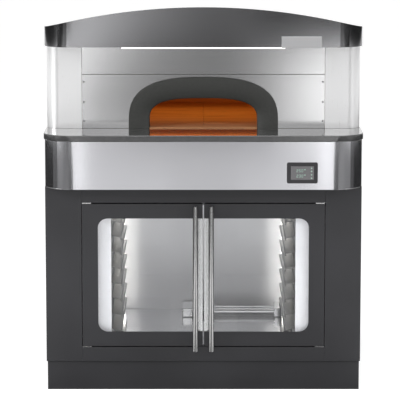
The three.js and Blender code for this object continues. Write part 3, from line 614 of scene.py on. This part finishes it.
def casings():
    for node in PAINTED:
        ease_node(node, dark_paint, "dark_paint")
    for node in STAINLESS:
        ease_node(node, panel_steel, "stainless", SHEET_EDGE)
    for node in ("face_lower", "face_upper"):
        ease_node(node, face_steel, "stainless")
    ease_node("liner_shell", liner_steel, "stainless", FINE_EDGE)
    ease_node("liner_floor", floor_steel, "stainless", FINE_EDGE)
    ease_node("door_jambs", jamb_steel, "stainless", FINE_EDGE)


casings()

# Doors: handles, panes, edge strips, seals and hinges

HANDLE_RADIUS = 0.012
STUD_RADIUS = 0.0065
STUD_FOOT_RADIUS = 0.0095
STUD_FOOT = 0.004
STUD_HEIGHTS = (0.249, 0.867)
STUD_STEPS = 32
NECK_SHARE = 0.03  # of the reach, where the stud widens to its foot
HANDLE_EASE = 0.0015
HANDLE_STEPS = 48
SEAL_EDGE = 0.003
HINGE_EDGE = 0.0005
CATCH_EDGE = 0.001


def handle(side_name):
    node = f"door_{side_name}_handle"
    low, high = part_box(node)
    x = (low.x + high.x) / 2
    y = low.y + HANDLE_RADIUS
    foot_share = 1 - STUD_FOOT / (high.y - y)
    stud = [
        (0, STUD_RADIUS),
        (foot_share - NECK_SHARE, STUD_RADIUS),
        (foot_share, STUD_FOOT_RADIUS),
        (1, STUD_FOOT_RADIUS),
    ]
    pieces = [tube(HANDLE_RADIUS, (x, y, low.z), (x, y, high.z), HANDLE_EASE, HANDLE_STEPS)]
    for z in STUD_HEIGHTS:
        pieces.append(turned(stud, (x, y, z), (x, high.y, z), STUD_STEPS))
    body = f"door_{side_name}"
    add_piece(f"{node}_bar", joined(node, pieces), tube_steel, "polished_steel", node, body=body)


def doors():
    for _, name in SIDES:
        handle(name)
        give(nodes[f"door_{name}_glass"], clear_glass)
        ease_node(f"door_{name}_edge_strip", tube_steel, "polished_steel")
        ease_node(f"door_{name}_seal", seal_rubber, "door_seal", SEAL_EDGE, SOFT_STEPS)
        for place in ("lower", "upper"):
            ease_node(f"hinge_{place}_{name}", small_steel, "polished_steel", HINGE_EDGE)
    # The catch's black is partly painted shade: it also stands for the shade that the handles' feet
    # cast in the doors' bottom gap
    ease_node("door_catch", black_plastic, "black_plastic", CATCH_EDGE)


doors()

# Inside the cabinet: racks, heater and lamps

LEVELS = 8
LEVEL_PITCH = 0.075
LOWEST_RIB = 0.275
RIB_ROOT = 0.030
RIB_NOSE = 0.014
NOSE_STEPS = 12
RIB_SHEET = 0.002
PANEL_SHEET = 0.003


def copies_tree(name, inputs):
    """A tree that makes real copies in one finish. Each input is a name and a kind of socket."""
    tree = bpy.data.node_groups.new(name, "GeometryNodeTree")
    socket = tree.interface.new_socket
    for label, kind in (*inputs, ("Finish", "Material")):
        socket(name=label, in_out="INPUT", socket_type=f"NodeSocket{kind}")
    socket(name="Geometry", in_out="OUTPUT", socket_type="NodeSocketGeometry")
    start = tree.nodes.new("NodeGroupInput")
    end = tree.nodes.new("NodeGroupOutput")
    repeat = tree.nodes.new("GeometryNodeInstanceOnPoints")
    real = tree.nodes.new("GeometryNodeRealizeInstances")
    finish = tree.nodes.new("GeometryNodeSetMaterial")
    tree.links.new(repeat.outputs["Instances"], real.inputs["Geometry"])
    tree.links.new(real.outputs["Geometry"], finish.inputs["Geometry"])
    tree.links.new(start.outputs["Finish"], finish.inputs["Material"])
    tree.links.new(finish.outputs["Geometry"], end.inputs["Geometry"])
    return tree, start, repeat


def rib_tree():
    """Ribs at an even pitch up a rack, each a copy of one that runs back."""
    inputs = (("Rib", "Geometry"), ("Count", "Int"), ("Pitch", "Float"), ("Lowest", "Float"))
    tree, start, repeat = copies_tree("rack_ribs", inputs)
    line = tree.nodes.new("GeometryNodeMeshLine")
    line.mode = "OFFSET"
    base = tree.nodes.new("ShaderNodeCombineXYZ")
    offset = tree.nodes.new("ShaderNodeCombineXYZ")
    link = tree.links.new
    link(start.outputs["Count"], line.inputs["Count"])
    link(start.outputs["Lowest"], base.inputs["Z"])
    link(start.outputs["Pitch"], offset.inputs["Z"])
    link(base.outputs["Vector"], line.inputs["Start Location"])
    link(offset.outputs["Vector"], line.inputs["Offset"])
    link(line.outputs["Mesh"], repeat.inputs["Points"])
    link(start.outputs["Rib"], repeat.inputs["Instance"])
    return tree


def through_tree(mesh, tree, values):
    """The mesh that a tree makes from another, with the tree's inputs set by name."""
    carrier = bpy.data.objects.new("carrier", mesh)
    bpy.context.scene.collection.objects.link(carrier)
    modifier = carrier.modifiers.new("tree", "NODES")
    modifier.node_group = tree
    for item in tree.interface.items_tree:
        if item.item_type == "SOCKET" and item.in_out == "INPUT" and item.name in values:
            modifier[item.identifier] = values[item.name]
    bpy.context.view_layer.update()
    evaluated = carrier.evaluated_get(bpy.context.evaluated_depsgraph_get())
    finished = bpy.data.meshes.new_from_object(evaluated)
    carrier.modifiers.remove(modifier)
    bpy.data.objects.remove(carrier)
    return finished


def rib_mesh(side, inner, outer, front, back):
    """One pressed rib about height zero: a sheet folded over a rounded nose and open below."""
    centre = inner + side * RIB_NOSE / 2

    def skin(depth):
        radius = RIB_NOSE / 2 - depth
        points = [(outer, RIB_ROOT / 2 - depth)]
        for i in range(NOSE_STEPS + 1):
            angle = math.pi * (0.5 - i / NOSE_STEPS)
            points.append((centre - side * radius * math.cos(angle), radius * math.sin(angle)))
        return points

    profile = skin(0) + skin(RIB_SHEET)[::-1]
    count = len(profile)
    vertices = [(x, y, z) for y in (front, back) for x, z in profile]
    faces = [tuple(range(count)), tuple(range(2 * count - 1, count - 1, -1))]
    for i in range(count):
        j = (i + 1) % count
        faces.append((i, j, count + j, count + i))
    mesh = turned_in(mesh_from("rib", vertices, faces))
    return eased(mesh, FINE_EDGE, 1)


def racks():
    tree = rib_tree()
    for side, name in SIDES:
        node = f"tray_rack_{name}"
        low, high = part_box(node)
        outer = high.x if side > 0 else low.x
        inner = low.x if side > 0 else high.x
        panel_face = outer - side * PANEL_SHEET
        near, far = sorted((outer, panel_face))
        panel = eased(box_mesh("panel", (near, low.y, low.z), (far, high.y, high.z)), FOLD_EDGE)
        rib = rib_mesh(side, inner, panel_face + side * PANEL_SHEET / 2, low.y, high.y)
        values = {"Count": LEVELS, "Pitch": LEVEL_PITCH, "Lowest": LOWEST_RIB, "Finish": shaded_rack_steel}
        ribs = through_tree(rib, tree, values)
        add_piece(f"{node}_pressed", joined(node, [panel, ribs]), shaded_rack_steel, "stainless", node)


HEATER_TUBES = 3
HEATER_TUBE_RADIUS = 0.010
HEATER_PITCH = 0.060
TUBE_INSERTION = 0.005
LEFT_BLOCK = 0.053
RIGHT_BLOCK = 0.040
BLOCK_EDGE = 0.006
CABINET_LAMP_EDGE = 0.004


def heater():
    low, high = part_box("floor_heater")
    left_end = low.x + LEFT_BLOCK
    right_end = high.x - RIGHT_BLOCK
    parts = [
        eased(box_mesh("block", low, (left_end, high.y, high.z)), BLOCK_EDGE, ROUND_STEPS),
        eased(box_mesh("block", (right_end, low.y, low.z), high), BLOCK_EDGE, ROUND_STEPS),
    ]
    middle = (low.y + high.y) / 2
    z = (low.z + high.z) / 2
    for i in range(HEATER_TUBES):
        y = middle + (i - (HEATER_TUBES - 1) / 2) * HEATER_PITCH
        near = (left_end - TUBE_INSERTION, y, z)
        far = (right_end + TUBE_INSERTION, y, z)
        parts.append(tube(HEATER_TUBE_RADIUS, near, far))
    whole = joined("heater", parts)
    add_piece("floor_heater_bars", whole, heater_steel, "polished_steel", "floor_heater")


racks()
heater()
for _, side_name in SIDES:
    ease_node(f"interior_light_{side_name}", cabinet_lamp, "lamp", CABINET_LAMP_EDGE, ROUND_STEPS)

# Control band and display

BAND_RADIUS = 0.142
SHEET = 0.003


def control_band():
    low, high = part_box("control_band")
    outer = round_fronted(high.x, low.y, high.y, BAND_RADIUS)
    inner = round_fronted(high.x - SHEET, low.y + SHEET, high.y, BAND_RADIUS - SHEET)
    sheet = eased(standing_sheet(outer, inner, low.z, lambda point: high.z), SHEET_EDGE)
    add_piece("control_band_sheet", sheet, band_steel, "stainless", "control_band")


DIGIT_WIDTH = 0.0075
DIGIT_HEIGHT = 0.0135
STROKE = 0.0016
FIGURE_THICKNESS = 0.0004
UNIT_WIDTH = 0.008
UNIT_HEIGHT = 0.004

# The strokes of each digit, by their letters

SEGMENTS = {"0": "abcdef", "2": "abged", "5": "afgcd", "3": "abgcd"}


def stroke(name, x, z, y):
    """One stroke of a digit, by its letter, from the digit's lower left corner."""
    half = DIGIT_HEIGHT / 2
    places = {
        "a": (0, DIGIT_HEIGHT - STROKE, DIGIT_WIDTH, DIGIT_HEIGHT),
        "g": (0, half - STROKE / 2, DIGIT_WIDTH, half + STROKE / 2),
        "d": (0, 0, DIGIT_WIDTH, STROKE),
        "f": (0, half, STROKE, DIGIT_HEIGHT),
        "b": (DIGIT_WIDTH - STROKE, half, DIGIT_WIDTH, DIGIT_HEIGHT),
        "e": (0, 0, STROKE, half),
        "c": (DIGIT_WIDTH - STROKE, 0, DIGIT_WIDTH, half),
    }
    x0, z0, x1, z1 = places[name]
    return box_mesh("stroke", (x + x0, y - FIGURE_THICKNESS, z + z0), (x + x1, y, z + z1))


ROW_TEXTS = ((0.036, "250"), (0.011, "230"))
FIRST_DIGIT = 0.027
DIGIT_PITCH = 0.0115
ICON_RADIUS = 0.0032
ICON_FROM_RIGHT = 0.011
ICON_HEIGHTS = (0.0075, 0.0235, 0.0395, 0.0545)
ICON_STEPS = 24
BEZEL_EDGE = 0.0012


def display():
    ease_node("control_bezel", black_plastic, "black_plastic", BEZEL_EDGE, SOFT_STEPS)
    ease_node("control_screen", screen_plastic, "screen", FINE_EDGE)
    low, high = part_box("control_screen")
    front = low.y - FIGURE_THICKNESS
    shapes = []
    for height, digits in ROW_TEXTS:
        x = low.x + FIRST_DIGIT
        for digit in digits:
            shapes += [stroke(name, x, low.z + height, low.y) for name in SEGMENTS[digit]]
            x += DIGIT_PITCH
        top = low.z + height + DIGIT_HEIGHT
        shapes.append(box_mesh("unit", (x, front, top - UNIT_HEIGHT), (x + UNIT_WIDTH, low.y, top)))
    disc = [(0, ICON_RADIUS), (1, ICON_RADIUS)]
    x = high.x - ICON_FROM_RIGHT
    for height in ICON_HEIGHTS:
        z = low.z + height
        shapes.append(turned(disc, (x, front, z), (x, low.y, z), ICON_STEPS))
    add_piece("screen_figures", joined("figures", shapes), screen_light, "lamp")


control_band()
display()

# Worktop and mouth

WORKTOP_RADIUS = 0.134
WORKTOP_EDGE = 0.004


def worktop():
    low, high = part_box("worktop")
    plan = round_fronted(high.x, low.y, high.y, WORKTOP_RADIUS)
    top = eased(slab(plan, low.z, high.z), WORKTOP_EDGE, ROUND_STEPS)
    add_piece("worktop_slab", top, worktop_stone, "dark_top", "worktop")


ARCH_STEPS = 72
MOUTH_HALF = 0.2575
MOUTH_RISE = 0.110
MOUTH_POWER = 3.0
SURROUND_HALF = 0.357
SURROUND_RISE = 0.212
SURROUND_POWER = 2.7
SPRINGING = 1.280
MOUTH_WALL = 0.006
RIM_ROUND = 0.005
RIM_STEP = 0.014  # the inner rim behind the outer one
OUTER_CREST = 0.0005  # the outer rim's crest behind the casting's front
INNER_CREST = 0.0008  # the inner rim's crest before its round
SHOULDER_SHARE = 0.3  # of the rim's round, at its middle
INNER_SHOULDER_SHARE = 0.4
FACE_GAP = 0.0003
SILL_EDGE = 0.001
STONE_EDGE = 0.0015


def arch(half, rise, power, foot):
    """Points of an arch on two legs, from its right foot to its left."""
    points = [(half, foot)]
    for i in range(ARCH_STEPS + 1):
        angle = math.pi * i / ARCH_STEPS
        across = math.cos(angle)
        x = half * math.copysign(abs(across) ** (2 / power), across)
        points.append((x, SPRINGING + rise * math.sin(angle) ** (2 / power)))
    return [*points, (-half, foot)]


def mouth():
    low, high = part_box("mouth_surround")
    foot = low.z
    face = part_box("face_lower")[0].y - FACE_GAP
    inner_front = low.y + RIM_STEP
    shoulder = RIM_ROUND * SHOULDER_SHARE

    def outer(inset):
        return arch(SURROUND_HALF - inset, SURROUND_RISE - inset, SURROUND_POWER, foot)

    def inner(margin):
        return arch(MOUTH_HALF + margin, MOUTH_RISE + margin, MOUTH_POWER, foot)

    sections = [
        (outer(0), face),
        (outer(0), low.y + RIM_ROUND),
        (outer(shoulder), low.y + shoulder),
        (outer(RIM_ROUND), low.y + OUTER_CREST),
        (inner(RIM_ROUND), inner_front - INNER_CREST),
        (inner(shoulder), inner_front + RIM_ROUND * INNER_SHOULDER_SHARE),
        (inner(0), inner_front + RIM_ROUND),
        (inner(0), high.y),
        (inner(MOUTH_WALL), high.y),
        (inner(MOUTH_WALL), face),
    ]
    count = len(sections)
    rows = len(sections[0][0])
    vertices = []
    for i in range(rows):
        vertices += [(path[i][0], y, path[i][1]) for path, y in sections]
    faces = []
    for row in range(rows - 1):
        for k in range(count):
            a = row * count + k
            b = row * count + (k + 1) % count
            faces.append((a, b, b + count, a + count))
    faces.append(tuple(range(count)))
    faces.append(tuple(range(len(vertices) - 1, len(vertices) - count - 1, -1)))
    mesh = smooth(turned_in(mesh_from("surround", vertices, faces)), CAST_SHARP_ANGLE)
    add_piece("mouth_surround_casting", mesh, cast_iron, "dark_casting", "mouth_surround")
    ease_node("mouth_sill", fire_clay, "refractory", SILL_EDGE)


def baking_chamber():
    for node in ("chamber_front_wall", "chamber_rear_wall", "deck_stone_left", "deck_stone_right"):
        ease_node(node, fire_clay, "refractory", STONE_EDGE)
    vault = smooth(copy_of("chamber_vault"))
    add_piece("chamber_vault_sheet", vault, vault_steel, "stainless", "chamber_vault")
    rods = smooth(copy_of("roof_elements"), CAST_SHARP_ANGLE)
    add_piece("roof_elements_rods", rods, hot_element, "element", "roof_elements")
    for _, name in SIDES:
        give(nodes[f"floor_elements_{name}"], oxidised_steel)
    give(nodes["oven_insulation"], wool)


worktop()
mouth()
baking_chamber()

# Wings, hood and what they carry

WING_RADIUS = 0.060
HOOD_RADIUS = 0.115
HOOD_FRONT_STEPS = 48
FACE_HALF = 0.580
WING_SIDE_GAP = 0.001
HOOD_CORNER_TOP = 1.744
SKIRT_GAP = 0.0003
HOOD_LAMP_EDGE = 0.002


def wing_path(side, half, front, back, inset):
    centre = half - WING_RADIUS
    turn = quarter_turn(centre, front + WING_RADIUS, WING_RADIUS - inset, -math.pi / 2)
    points = [(FACE_HALF + WING_SIDE_GAP, front + inset), *turn, (half - inset, back)]
    return [(side * x, y) for x, y in points]


def wings():
    face_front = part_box("face_lower")[0].y
    hood_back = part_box("hood_fascia")[1].y
    worktop_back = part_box("worktop")[1].y
    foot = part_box("face_lower")[0].z
    rear_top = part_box("oven_rear_panel")[1].z
    for side, name in SIDES:
        node = f"wing_{name}"
        low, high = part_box(node)
        half = high.x if side > 0 else -low.x
        top = high.z
        outer = wing_path(side, half, face_front, hood_back, 0)
        inner = wing_path(side, half, face_front, hood_back, SHEET)
        front = eased(standing_sheet(outer, inner, foot, lambda point: top), SHEET_EDGE)
        near, far = sorted((side * (half - SHEET), side * half))
        rear = box_mesh("rear", (near, hood_back, foot), (far, high.y, rear_top))
        skirt = box_mesh("skirt", (near, worktop_back + SKIRT_GAP, low.z), (far, high.y, foot))
        sheets = [front, eased(rear, SHEET_EDGE), eased(skirt, SHEET_EDGE)]
        add_piece(f"{node}_panel", joined(node, sheets), wing_steel, "polished_steel", node)


def hood():
    low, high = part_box("hood_fascia")
    half = high.x
    roof_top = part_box("top_cover")[1].z
    drop = high.z - HOOD_CORNER_TOP
    radius = (half**2 + drop**2) / (2 * drop)

    def top_at(point):
        if point[1] >= high.y:
            return roof_top
        return high.z - radius + math.sqrt(radius**2 - point[0] ** 2)

    outer = round_fronted(half, low.y, high.y, HOOD_RADIUS, HOOD_FRONT_STEPS)
    inner = round_fronted(half - SHEET, low.y + SHEET, high.y, HOOD_RADIUS - SHEET, HOOD_FRONT_STEPS)
    sheet = eased(standing_sheet(outer, inner, low.z, top_at), FOLD_EDGE)
    add_piece("hood_fascia_sheet", sheet, hood_steel, "dark_paint", "hood_fascia")
    ease_node("name_plate", panel_steel, "polished_steel", SHEET_EDGE)
    ease_node("light_strip", hood_lamp, "lamp", HOOD_LAMP_EDGE)


COLLAR_BEAD = 0.003
BEAD_SHARES = (0.80, 0.83, 0.86)  # of the collar's height, at the bead's foot, crest and head
DUCT_STEPS = 64


def exhaust_collar():
    """An open duct: a turned outline with its end caps taken out and its inner wall put in."""
    low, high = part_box("exhaust_collar")
    x = (low.x + high.x) / 2
    y = (low.y + high.y) / 2
    outer = (high.x - low.x) / 2
    inner = outer - SHEET
    bead_foot, bead_crest, bead_head = BEAD_SHARES
    ring = [
        (0, inner),
        (0, outer),
        (bead_foot, outer),
        (bead_crest, outer + COLLAR_BEAD),
        (bead_head, outer),
        (1, outer),
        (1, inner),
    ]
    duct = turned(ring, (x, y, low.z), (x, y, high.z), DUCT_STEPS)
    made = bmesh.new()
    made.from_mesh(duct)
    made.faces.ensure_lookup_table()
    caps = [face for face in made.faces if len(face.verts) == DUCT_STEPS]
    rims = [sorted(face.verts, key=lambda vert: vert.index) for face in caps]
    bmesh.ops.delete(made, geom=caps, context="FACES_ONLY")
    for i in range(DUCT_STEPS):
        j = (i + 1) % DUCT_STEPS
        made.faces.new((rims[0][i], rims[0][j], rims[1][j], rims[1][i]))
    bmesh.ops.recalc_face_normals(made, faces=made.faces)
    made.to_mesh(duct)
    made.free()
    add_piece("exhaust_collar_duct", smooth(duct), panel_steel, "stainless", "exhaust_collar")


wings()
hood()
exhaust_collar()
ease_node("mains_gland", black_plastic, "black_plastic")

# Screws

SCREW_RADIUS = 0.0045
SCREW_DOME = 0.0022
SCREW_STEPS = 24
SOCKET_SHARE = 0.42  # of the screw's radius
SOCKET_FOOT_SHARE = 0.9  # of the socket's radius
SOCKET_FLOOR_SHARE = 0.4  # of the dome's height
DOME_SHARES = ((0, 1), (0.35, 1), (0.8, 0.85), (1, 0.6))  # of its height and of the screw's radius
FACE_SCREW_X = 0.5706
FACE_SCREW_HEIGHTS = (1.2808, 1.3722, 1.4687)
REAR_SCREW_X = (-0.730, -0.365, 0.0, 0.365, 0.730)
REAR_SCREW_HEIGHTS = (0.170, 0.560, 0.960, 1.010, 1.300, 1.580)


def screw_tree():
    """A screw head on each point, turned to face along an axis."""
    inputs = (("Points", "Geometry"), ("Head", "Object"), ("Facing", "Rotation"))
    tree, start, repeat = copies_tree("screws", inputs)
    head = tree.nodes.new("GeometryNodeObjectInfo")
    tree.links.new(start.outputs["Head"], head.inputs["Object"])
    tree.links.new(start.outputs["Points"], repeat.inputs["Points"])
    tree.links.new(head.outputs["Geometry"], repeat.inputs["Instance"])
    tree.links.new(start.outputs["Facing"], repeat.inputs["Rotation"])
    return tree


def screw_head():
    """A domed screw head with a round socket, standing on height zero."""
    socket = SCREW_RADIUS * SOCKET_SHARE
    profile = [(height_share, SCREW_RADIUS * share) for height_share, share in DOME_SHARES]
    profile += [(1, socket), (SOCKET_FLOOR_SHARE, socket * SOCKET_FOOT_SHARE)]
    mesh = turned(profile, (0, 0, 0), (0, 0, SCREW_DOME), SCREW_STEPS)
    head = bpy.data.objects.new("head", mesh)
    bpy.context.scene.collection.objects.link(head)
    return head


def screws():
    tree = screw_tree()
    head = screw_head()
    face_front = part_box("face_lower")[0].y
    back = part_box("rear_panel")[1].y
    front_places = [(side * FACE_SCREW_X, z) for side, _ in SIDES for z in FACE_SCREW_HEIGHTS]
    front_points = [(x, face_front, z) for x, z in front_places]
    rear_points = [(x, back, z) for x in REAR_SCREW_X for z in REAR_SCREW_HEIGHTS]
    to_front = math.pi / 2
    places = (("face_screws", front_points, to_front), ("rear_screws", rear_points, -to_front))
    for name, points, turn in places:
        values = {"Head": head, "Facing": (turn, 0, 0), "Finish": screw_steel}
        heads = through_tree(mesh_from(name, points, []), tree, values)
        add_piece(name, heads, screw_steel, "polished_steel")
    bpy.data.objects.remove(head)


screws()

# Studio: floor, world, lamps, and cards that only reflections see

FLOOR_SIZE = 40.0
FLOOR_SHADE = 0.6
FLOOR_ROUGHNESS = 0.9
FLOOR_SHEEN = 0.1
FLOOR_LIFT = 0.68  # added where the floor is seen, which makes it white with soft shadows
AMBIENT = 0.5


def either_ray(tree, *kinds):
    """One for a ray of any of the kinds, otherwise zero."""
    path = tree.nodes.new("ShaderNodeLightPath")
    value = path.outputs[kinds[0]]
    for kind in kinds[1:]:
        more = tree.nodes.new("ShaderNodeMath")
        more.operation = "MAXIMUM"
        tree.links.new(value, more.inputs[0])
        tree.links.new(path.outputs[kind], more.inputs[1])
        value = more.outputs["Value"]
    return value


def levels(tree, value, low, high):
    """Low where the value is zero, high where it is one."""
    ranges = tree.nodes.new("ShaderNodeMapRange")
    ranges.inputs["To Min"].default_value = low
    ranges.inputs["To Max"].default_value = high
    tree.links.new(value, ranges.inputs["Value"])
    return ranges.outputs["Result"]


SEEN_RAYS = ("Is Camera Ray", "Is Glossy Ray", "Is Transmission Ray")


def floor():
    size = FLOOR_SIZE
    corner_points = [(-size, -size, 0), (size, -size, 0), (size, size, 0), (-size, size, 0)]
    plane = bpy.data.objects.new("floor", mesh_from("floor", corner_points, [(0, 1, 2, 3)]))
    bpy.context.scene.collection.objects.link(plane)
    material, tree, shader = new_material("floor_white")
    shader.inputs["Base Color"].default_value = (FLOOR_SHADE, FLOOR_SHADE, FLOOR_SHADE, 1)
    shader.inputs["Roughness"].default_value = FLOOR_ROUGHNESS
    shader.inputs["Specular IOR Level"].default_value = FLOOR_SHEEN
    shader.inputs["Emission Color"].default_value = (1, 1, 1, 1)
    lift = levels(tree, either_ray(tree, *SEEN_RAYS), 0.0, FLOOR_LIFT)
    tree.links.new(lift, shader.inputs["Emission Strength"])
    plane.data.materials.append(material)


def world():
    space = bpy.data.worlds.new("studio")
    bpy.context.scene.world = space
    space.use_nodes = True
    tree = space.node_tree
    background = tree.nodes["Background"]
    level = levels(tree, either_ray(tree, *SEEN_RAYS), AMBIENT, 1.0)
    tree.links.new(level, background.inputs["Strength"])
    background.inputs["Color"].default_value = (1, 1, 1, 1)


def lamp(name, place, target, size, power, colour=(1, 1, 1), seen=True):
    """A flat lamp aimed at a target, hidden from the camera and, if unseen, from reflections too."""
    light = bpy.data.lights.new(name, "AREA")
    light.shape = "RECTANGLE"
    light.size, light.size_y = size
    light.energy = power
    light.color = colour
    holder = bpy.data.objects.new(name, light)
    holder.location = place
    aim = Vector(target) - Vector(place)
    holder.rotation_euler = aim.to_track_quat("-Z", "Y").to_euler()
    holder.visible_camera = False
    holder.visible_glossy = seen
    bpy.context.scene.collection.objects.link(holder)


def card(name, mesh, level):
    """A panel of one brightness that only reflections see."""
    panel = bpy.data.objects.new(name, mesh)
    bpy.context.scene.collection.objects.link(panel)
    material, tree, shader = new_material(name)
    shader.inputs["Base Color"].default_value = (0, 0, 0, 1)
    shader.inputs["Specular IOR Level"].default_value = 0.0
    shader.inputs["Emission Color"].default_value = (1, 1, 1, 1)
    shader.inputs["Emission Strength"].default_value = level
    panel.data.materials.append(material)
    panel.visible_camera = False
    panel.visible_diffuse = False
    panel.visible_shadow = False
    panel.visible_transmission = False


CARD_LIFT = 0.002  # each floor card over the one before


def mirrored(x, front, z, height):
    """The point over the floor that a mirror at a point of an upright front shows to the camera."""
    camera = bpy.context.scene.camera.location
    fall = (z - height) / (camera.z - z)
    return (x + fall * (x - camera.x), front + fall * (camera.y - front), height)


def floor_cards():
    """Cards on the floor, each under what one field of a front mirrors."""
    height = CARD_LIFT
    for front_name, front, low, high, fields in FIELDS:
        for number, (left, right, level) in enumerate(fields):
            points = [(left, low), (right, low), (right, high), (left, high)]
            vertices = [mirrored(x, front, z, height) for x, z in points]
            card(f"{front_name}_card_{number}", mesh_from("card", vertices, [(0, 1, 2, 3)]), level)
            height += CARD_LIFT


# Each front's name, depth, foot and top, and its fields: left side, right side and brightness

FIELDS = (
    ("doors_low", -0.595, 0.0, 0.45, ((-0.78, 0.78, 0.12),)),
    ("doors_middle", -0.595, 0.45, 0.70, ((-0.78, 0.78, 0.7),)),
    ("doors_high", -0.595, 0.70, 0.97, ((-3.0, -0.66, 0.05), (-0.66, 0.66, 1.15), (0.66, 3.0, 0.05))),
    ("handles", -0.65, 0.10, 0.93, ((-0.16, 0.16, 0.8),)),
    (
        "band",
        -0.717,
        0.96,
        1.24,
        (
            (-3.0, -0.612, 0.10),
            (-0.612, -0.575, 3.4),
            (-0.575, -0.545, 1.4),
            (-0.545, 0.535, 1.02),
            (0.535, 0.575, 1.6),
            (0.575, 0.612, 3.2),
            (0.612, 3.0, 0.02),
        ),
    ),
    (
        "lower_face",
        -0.445,
        1.24,
        1.50,
        (
            (-1.2, -0.68, 3.6),
            (-0.68, -0.60, 1.5),
            (-0.60, -0.50, 0.55),
            (-0.50, -0.35, 0.38),
            (-0.35, 0.33, 0.25),
            (0.33, 0.42, 1.0),
            (0.42, 0.50, 1.7),
            (0.50, 0.64, 2.0),
            (0.64, 0.70, 4.0),
            (0.70, 1.2, 3.0),
        ),
    ),
    (
        "upper_face",
        -0.445,
        1.50,
        1.655,
        (
            (-1.2, -0.68, 3.6),
            (-0.68, -0.60, 1.5),
            (-0.60, -0.53, 2.2),
            (-0.53, -0.44, 1.0),
            (-0.44, -0.30, 0.40),
            (-0.30, 0.20, 0.12),
            (0.20, 0.33, 0.75),
            (0.33, 0.48, 1.5),
            (0.48, 0.64, 2.6),
            (0.64, 0.70, 3.2),
            (0.70, 1.2, 2.6),
        ),
    ),
    (
        "hood",
        -0.665,
        1.655,
        2.1,
        (
            (-4.0, -0.65, 0.02),
            (-0.65, -0.48, 2.3),
            (-0.48, -0.33, 1.45),
            (-0.33, -0.18, 0.85),
            (-0.18, -0.05, 0.6),
            (-0.05, 0.26, 0.38),
            (0.26, 4.0, 0.0),
        ),
    ),
)

# Each standing card's lowest corner, highest corner and brightness

FLAGS = {
    "flag_front_left": ((-2.32, -5.0, 0.10), (-2.30, -1.35, 0.98), 0.26),
    "flag_front_right": ((2.30, -5.0, 0.10), (2.32, -1.20, 0.98), 0.30),
    "flag_side_left": ((-2.32, -1.35, 0.0), (-2.30, -0.7, 1.05), 0.16),
    "flag_side_right": ((2.30, -1.2, 0.0), (2.32, -0.7, 1.05), 0.12),
    "flag_rear_left": ((-2.32, -0.7, 0.0), (-2.30, 3.0, 1.05), 0.05),
    "flag_rear_right": ((2.30, -0.7, 0.0), (2.32, 3.0, 1.05), 0.04),
    "flag_hood_left": ((-2.32, -7.0, 1.33), (-2.30, -1.9, 2.3), 0.06),
    "flag_hood_right": ((2.30, -7.0, 1.33), (2.32, -1.9, 2.3), 0.05),
    "flag_top_left": ((-2.32, -1.9, 1.50), (-2.30, 3.0, 2.3), 0.06),
    "flag_top_right": ((2.30, -1.9, 1.50), (2.32, 3.0, 2.3), 0.05),
    "far_front": ((-30.0, -60.0, 0.0), (30.0, -59.9, 6.0), 0.2),
    "flag_low_left": ((-1.62, -0.95, 0.0), (-1.60, 0.6, 0.72), 0.04),
    "flag_low_right": ((1.60, -0.95, 0.0), (1.62, 0.6, 0.72), 0.04),
}

# Each softbox's place, what it faces, its size and its power

SOFTBOXES = {
    "left_softbox": ((-4.2, -3.2, 2.6), (0, -0.3, 1.1), (1.8, 2.4), 150),
    "top_softbox": ((0.0, -1.8, 4.8), (0, 0, 1.0), (3.5, 2.0), 120),
    "right_softbox": ((3.6, -4.5, 2.6), (0, -0.4, 0.9), (1.6, 2.2), 80),
}
ORANGE = (1.0, 0.60, 0.12)
WARM_WHITE = (1.0, 0.98, 0.93)
GLOW_PLACE = (0, 0.1, 1.385)
GLOW_TARGET = (0, 0.1, 1.2)
GLOW_SIZE = (0.7, 0.6)
GLOW_POWER = 0.75
WASH_X = 0.372
WASH_TARGET_X = 0.385
WASH_FROM_BACK = 0.06
WASH_WIDTH = 0.02
WASH_POWER = 1.0


def wall_washes():
    """A hidden lamp by each of the cabinet's light strips, which brightens the back wall."""
    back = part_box("liner_shell")[1].y
    low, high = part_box("interior_light_right")
    middle = (low.z + high.z) / 2
    size = (WASH_WIDTH, high.z - low.z)
    for side, name in SIDES:
        place = (side * WASH_X, back - WASH_FROM_BACK, middle)
        target = (side * WASH_TARGET_X, back, middle)
        lamp(f"wall_wash_{name}", place, target, size, WASH_POWER, WARM_WHITE, seen=False)


def studio():
    floor()
    world()
    for name, (place, target, size, power) in SOFTBOXES.items():
        lamp(name, place, target, size, power)
    lamp("mouth_glow", GLOW_PLACE, GLOW_TARGET, GLOW_SIZE, GLOW_POWER, ORANGE, seen=False)
    wall_washes()
    floor_cards()
    for name, (low, high, level) in FLAGS.items():
        card(name, box_mesh(name, low, high), level)


studio()

bpy.context.scene.view_settings.view_transform = "Standard"
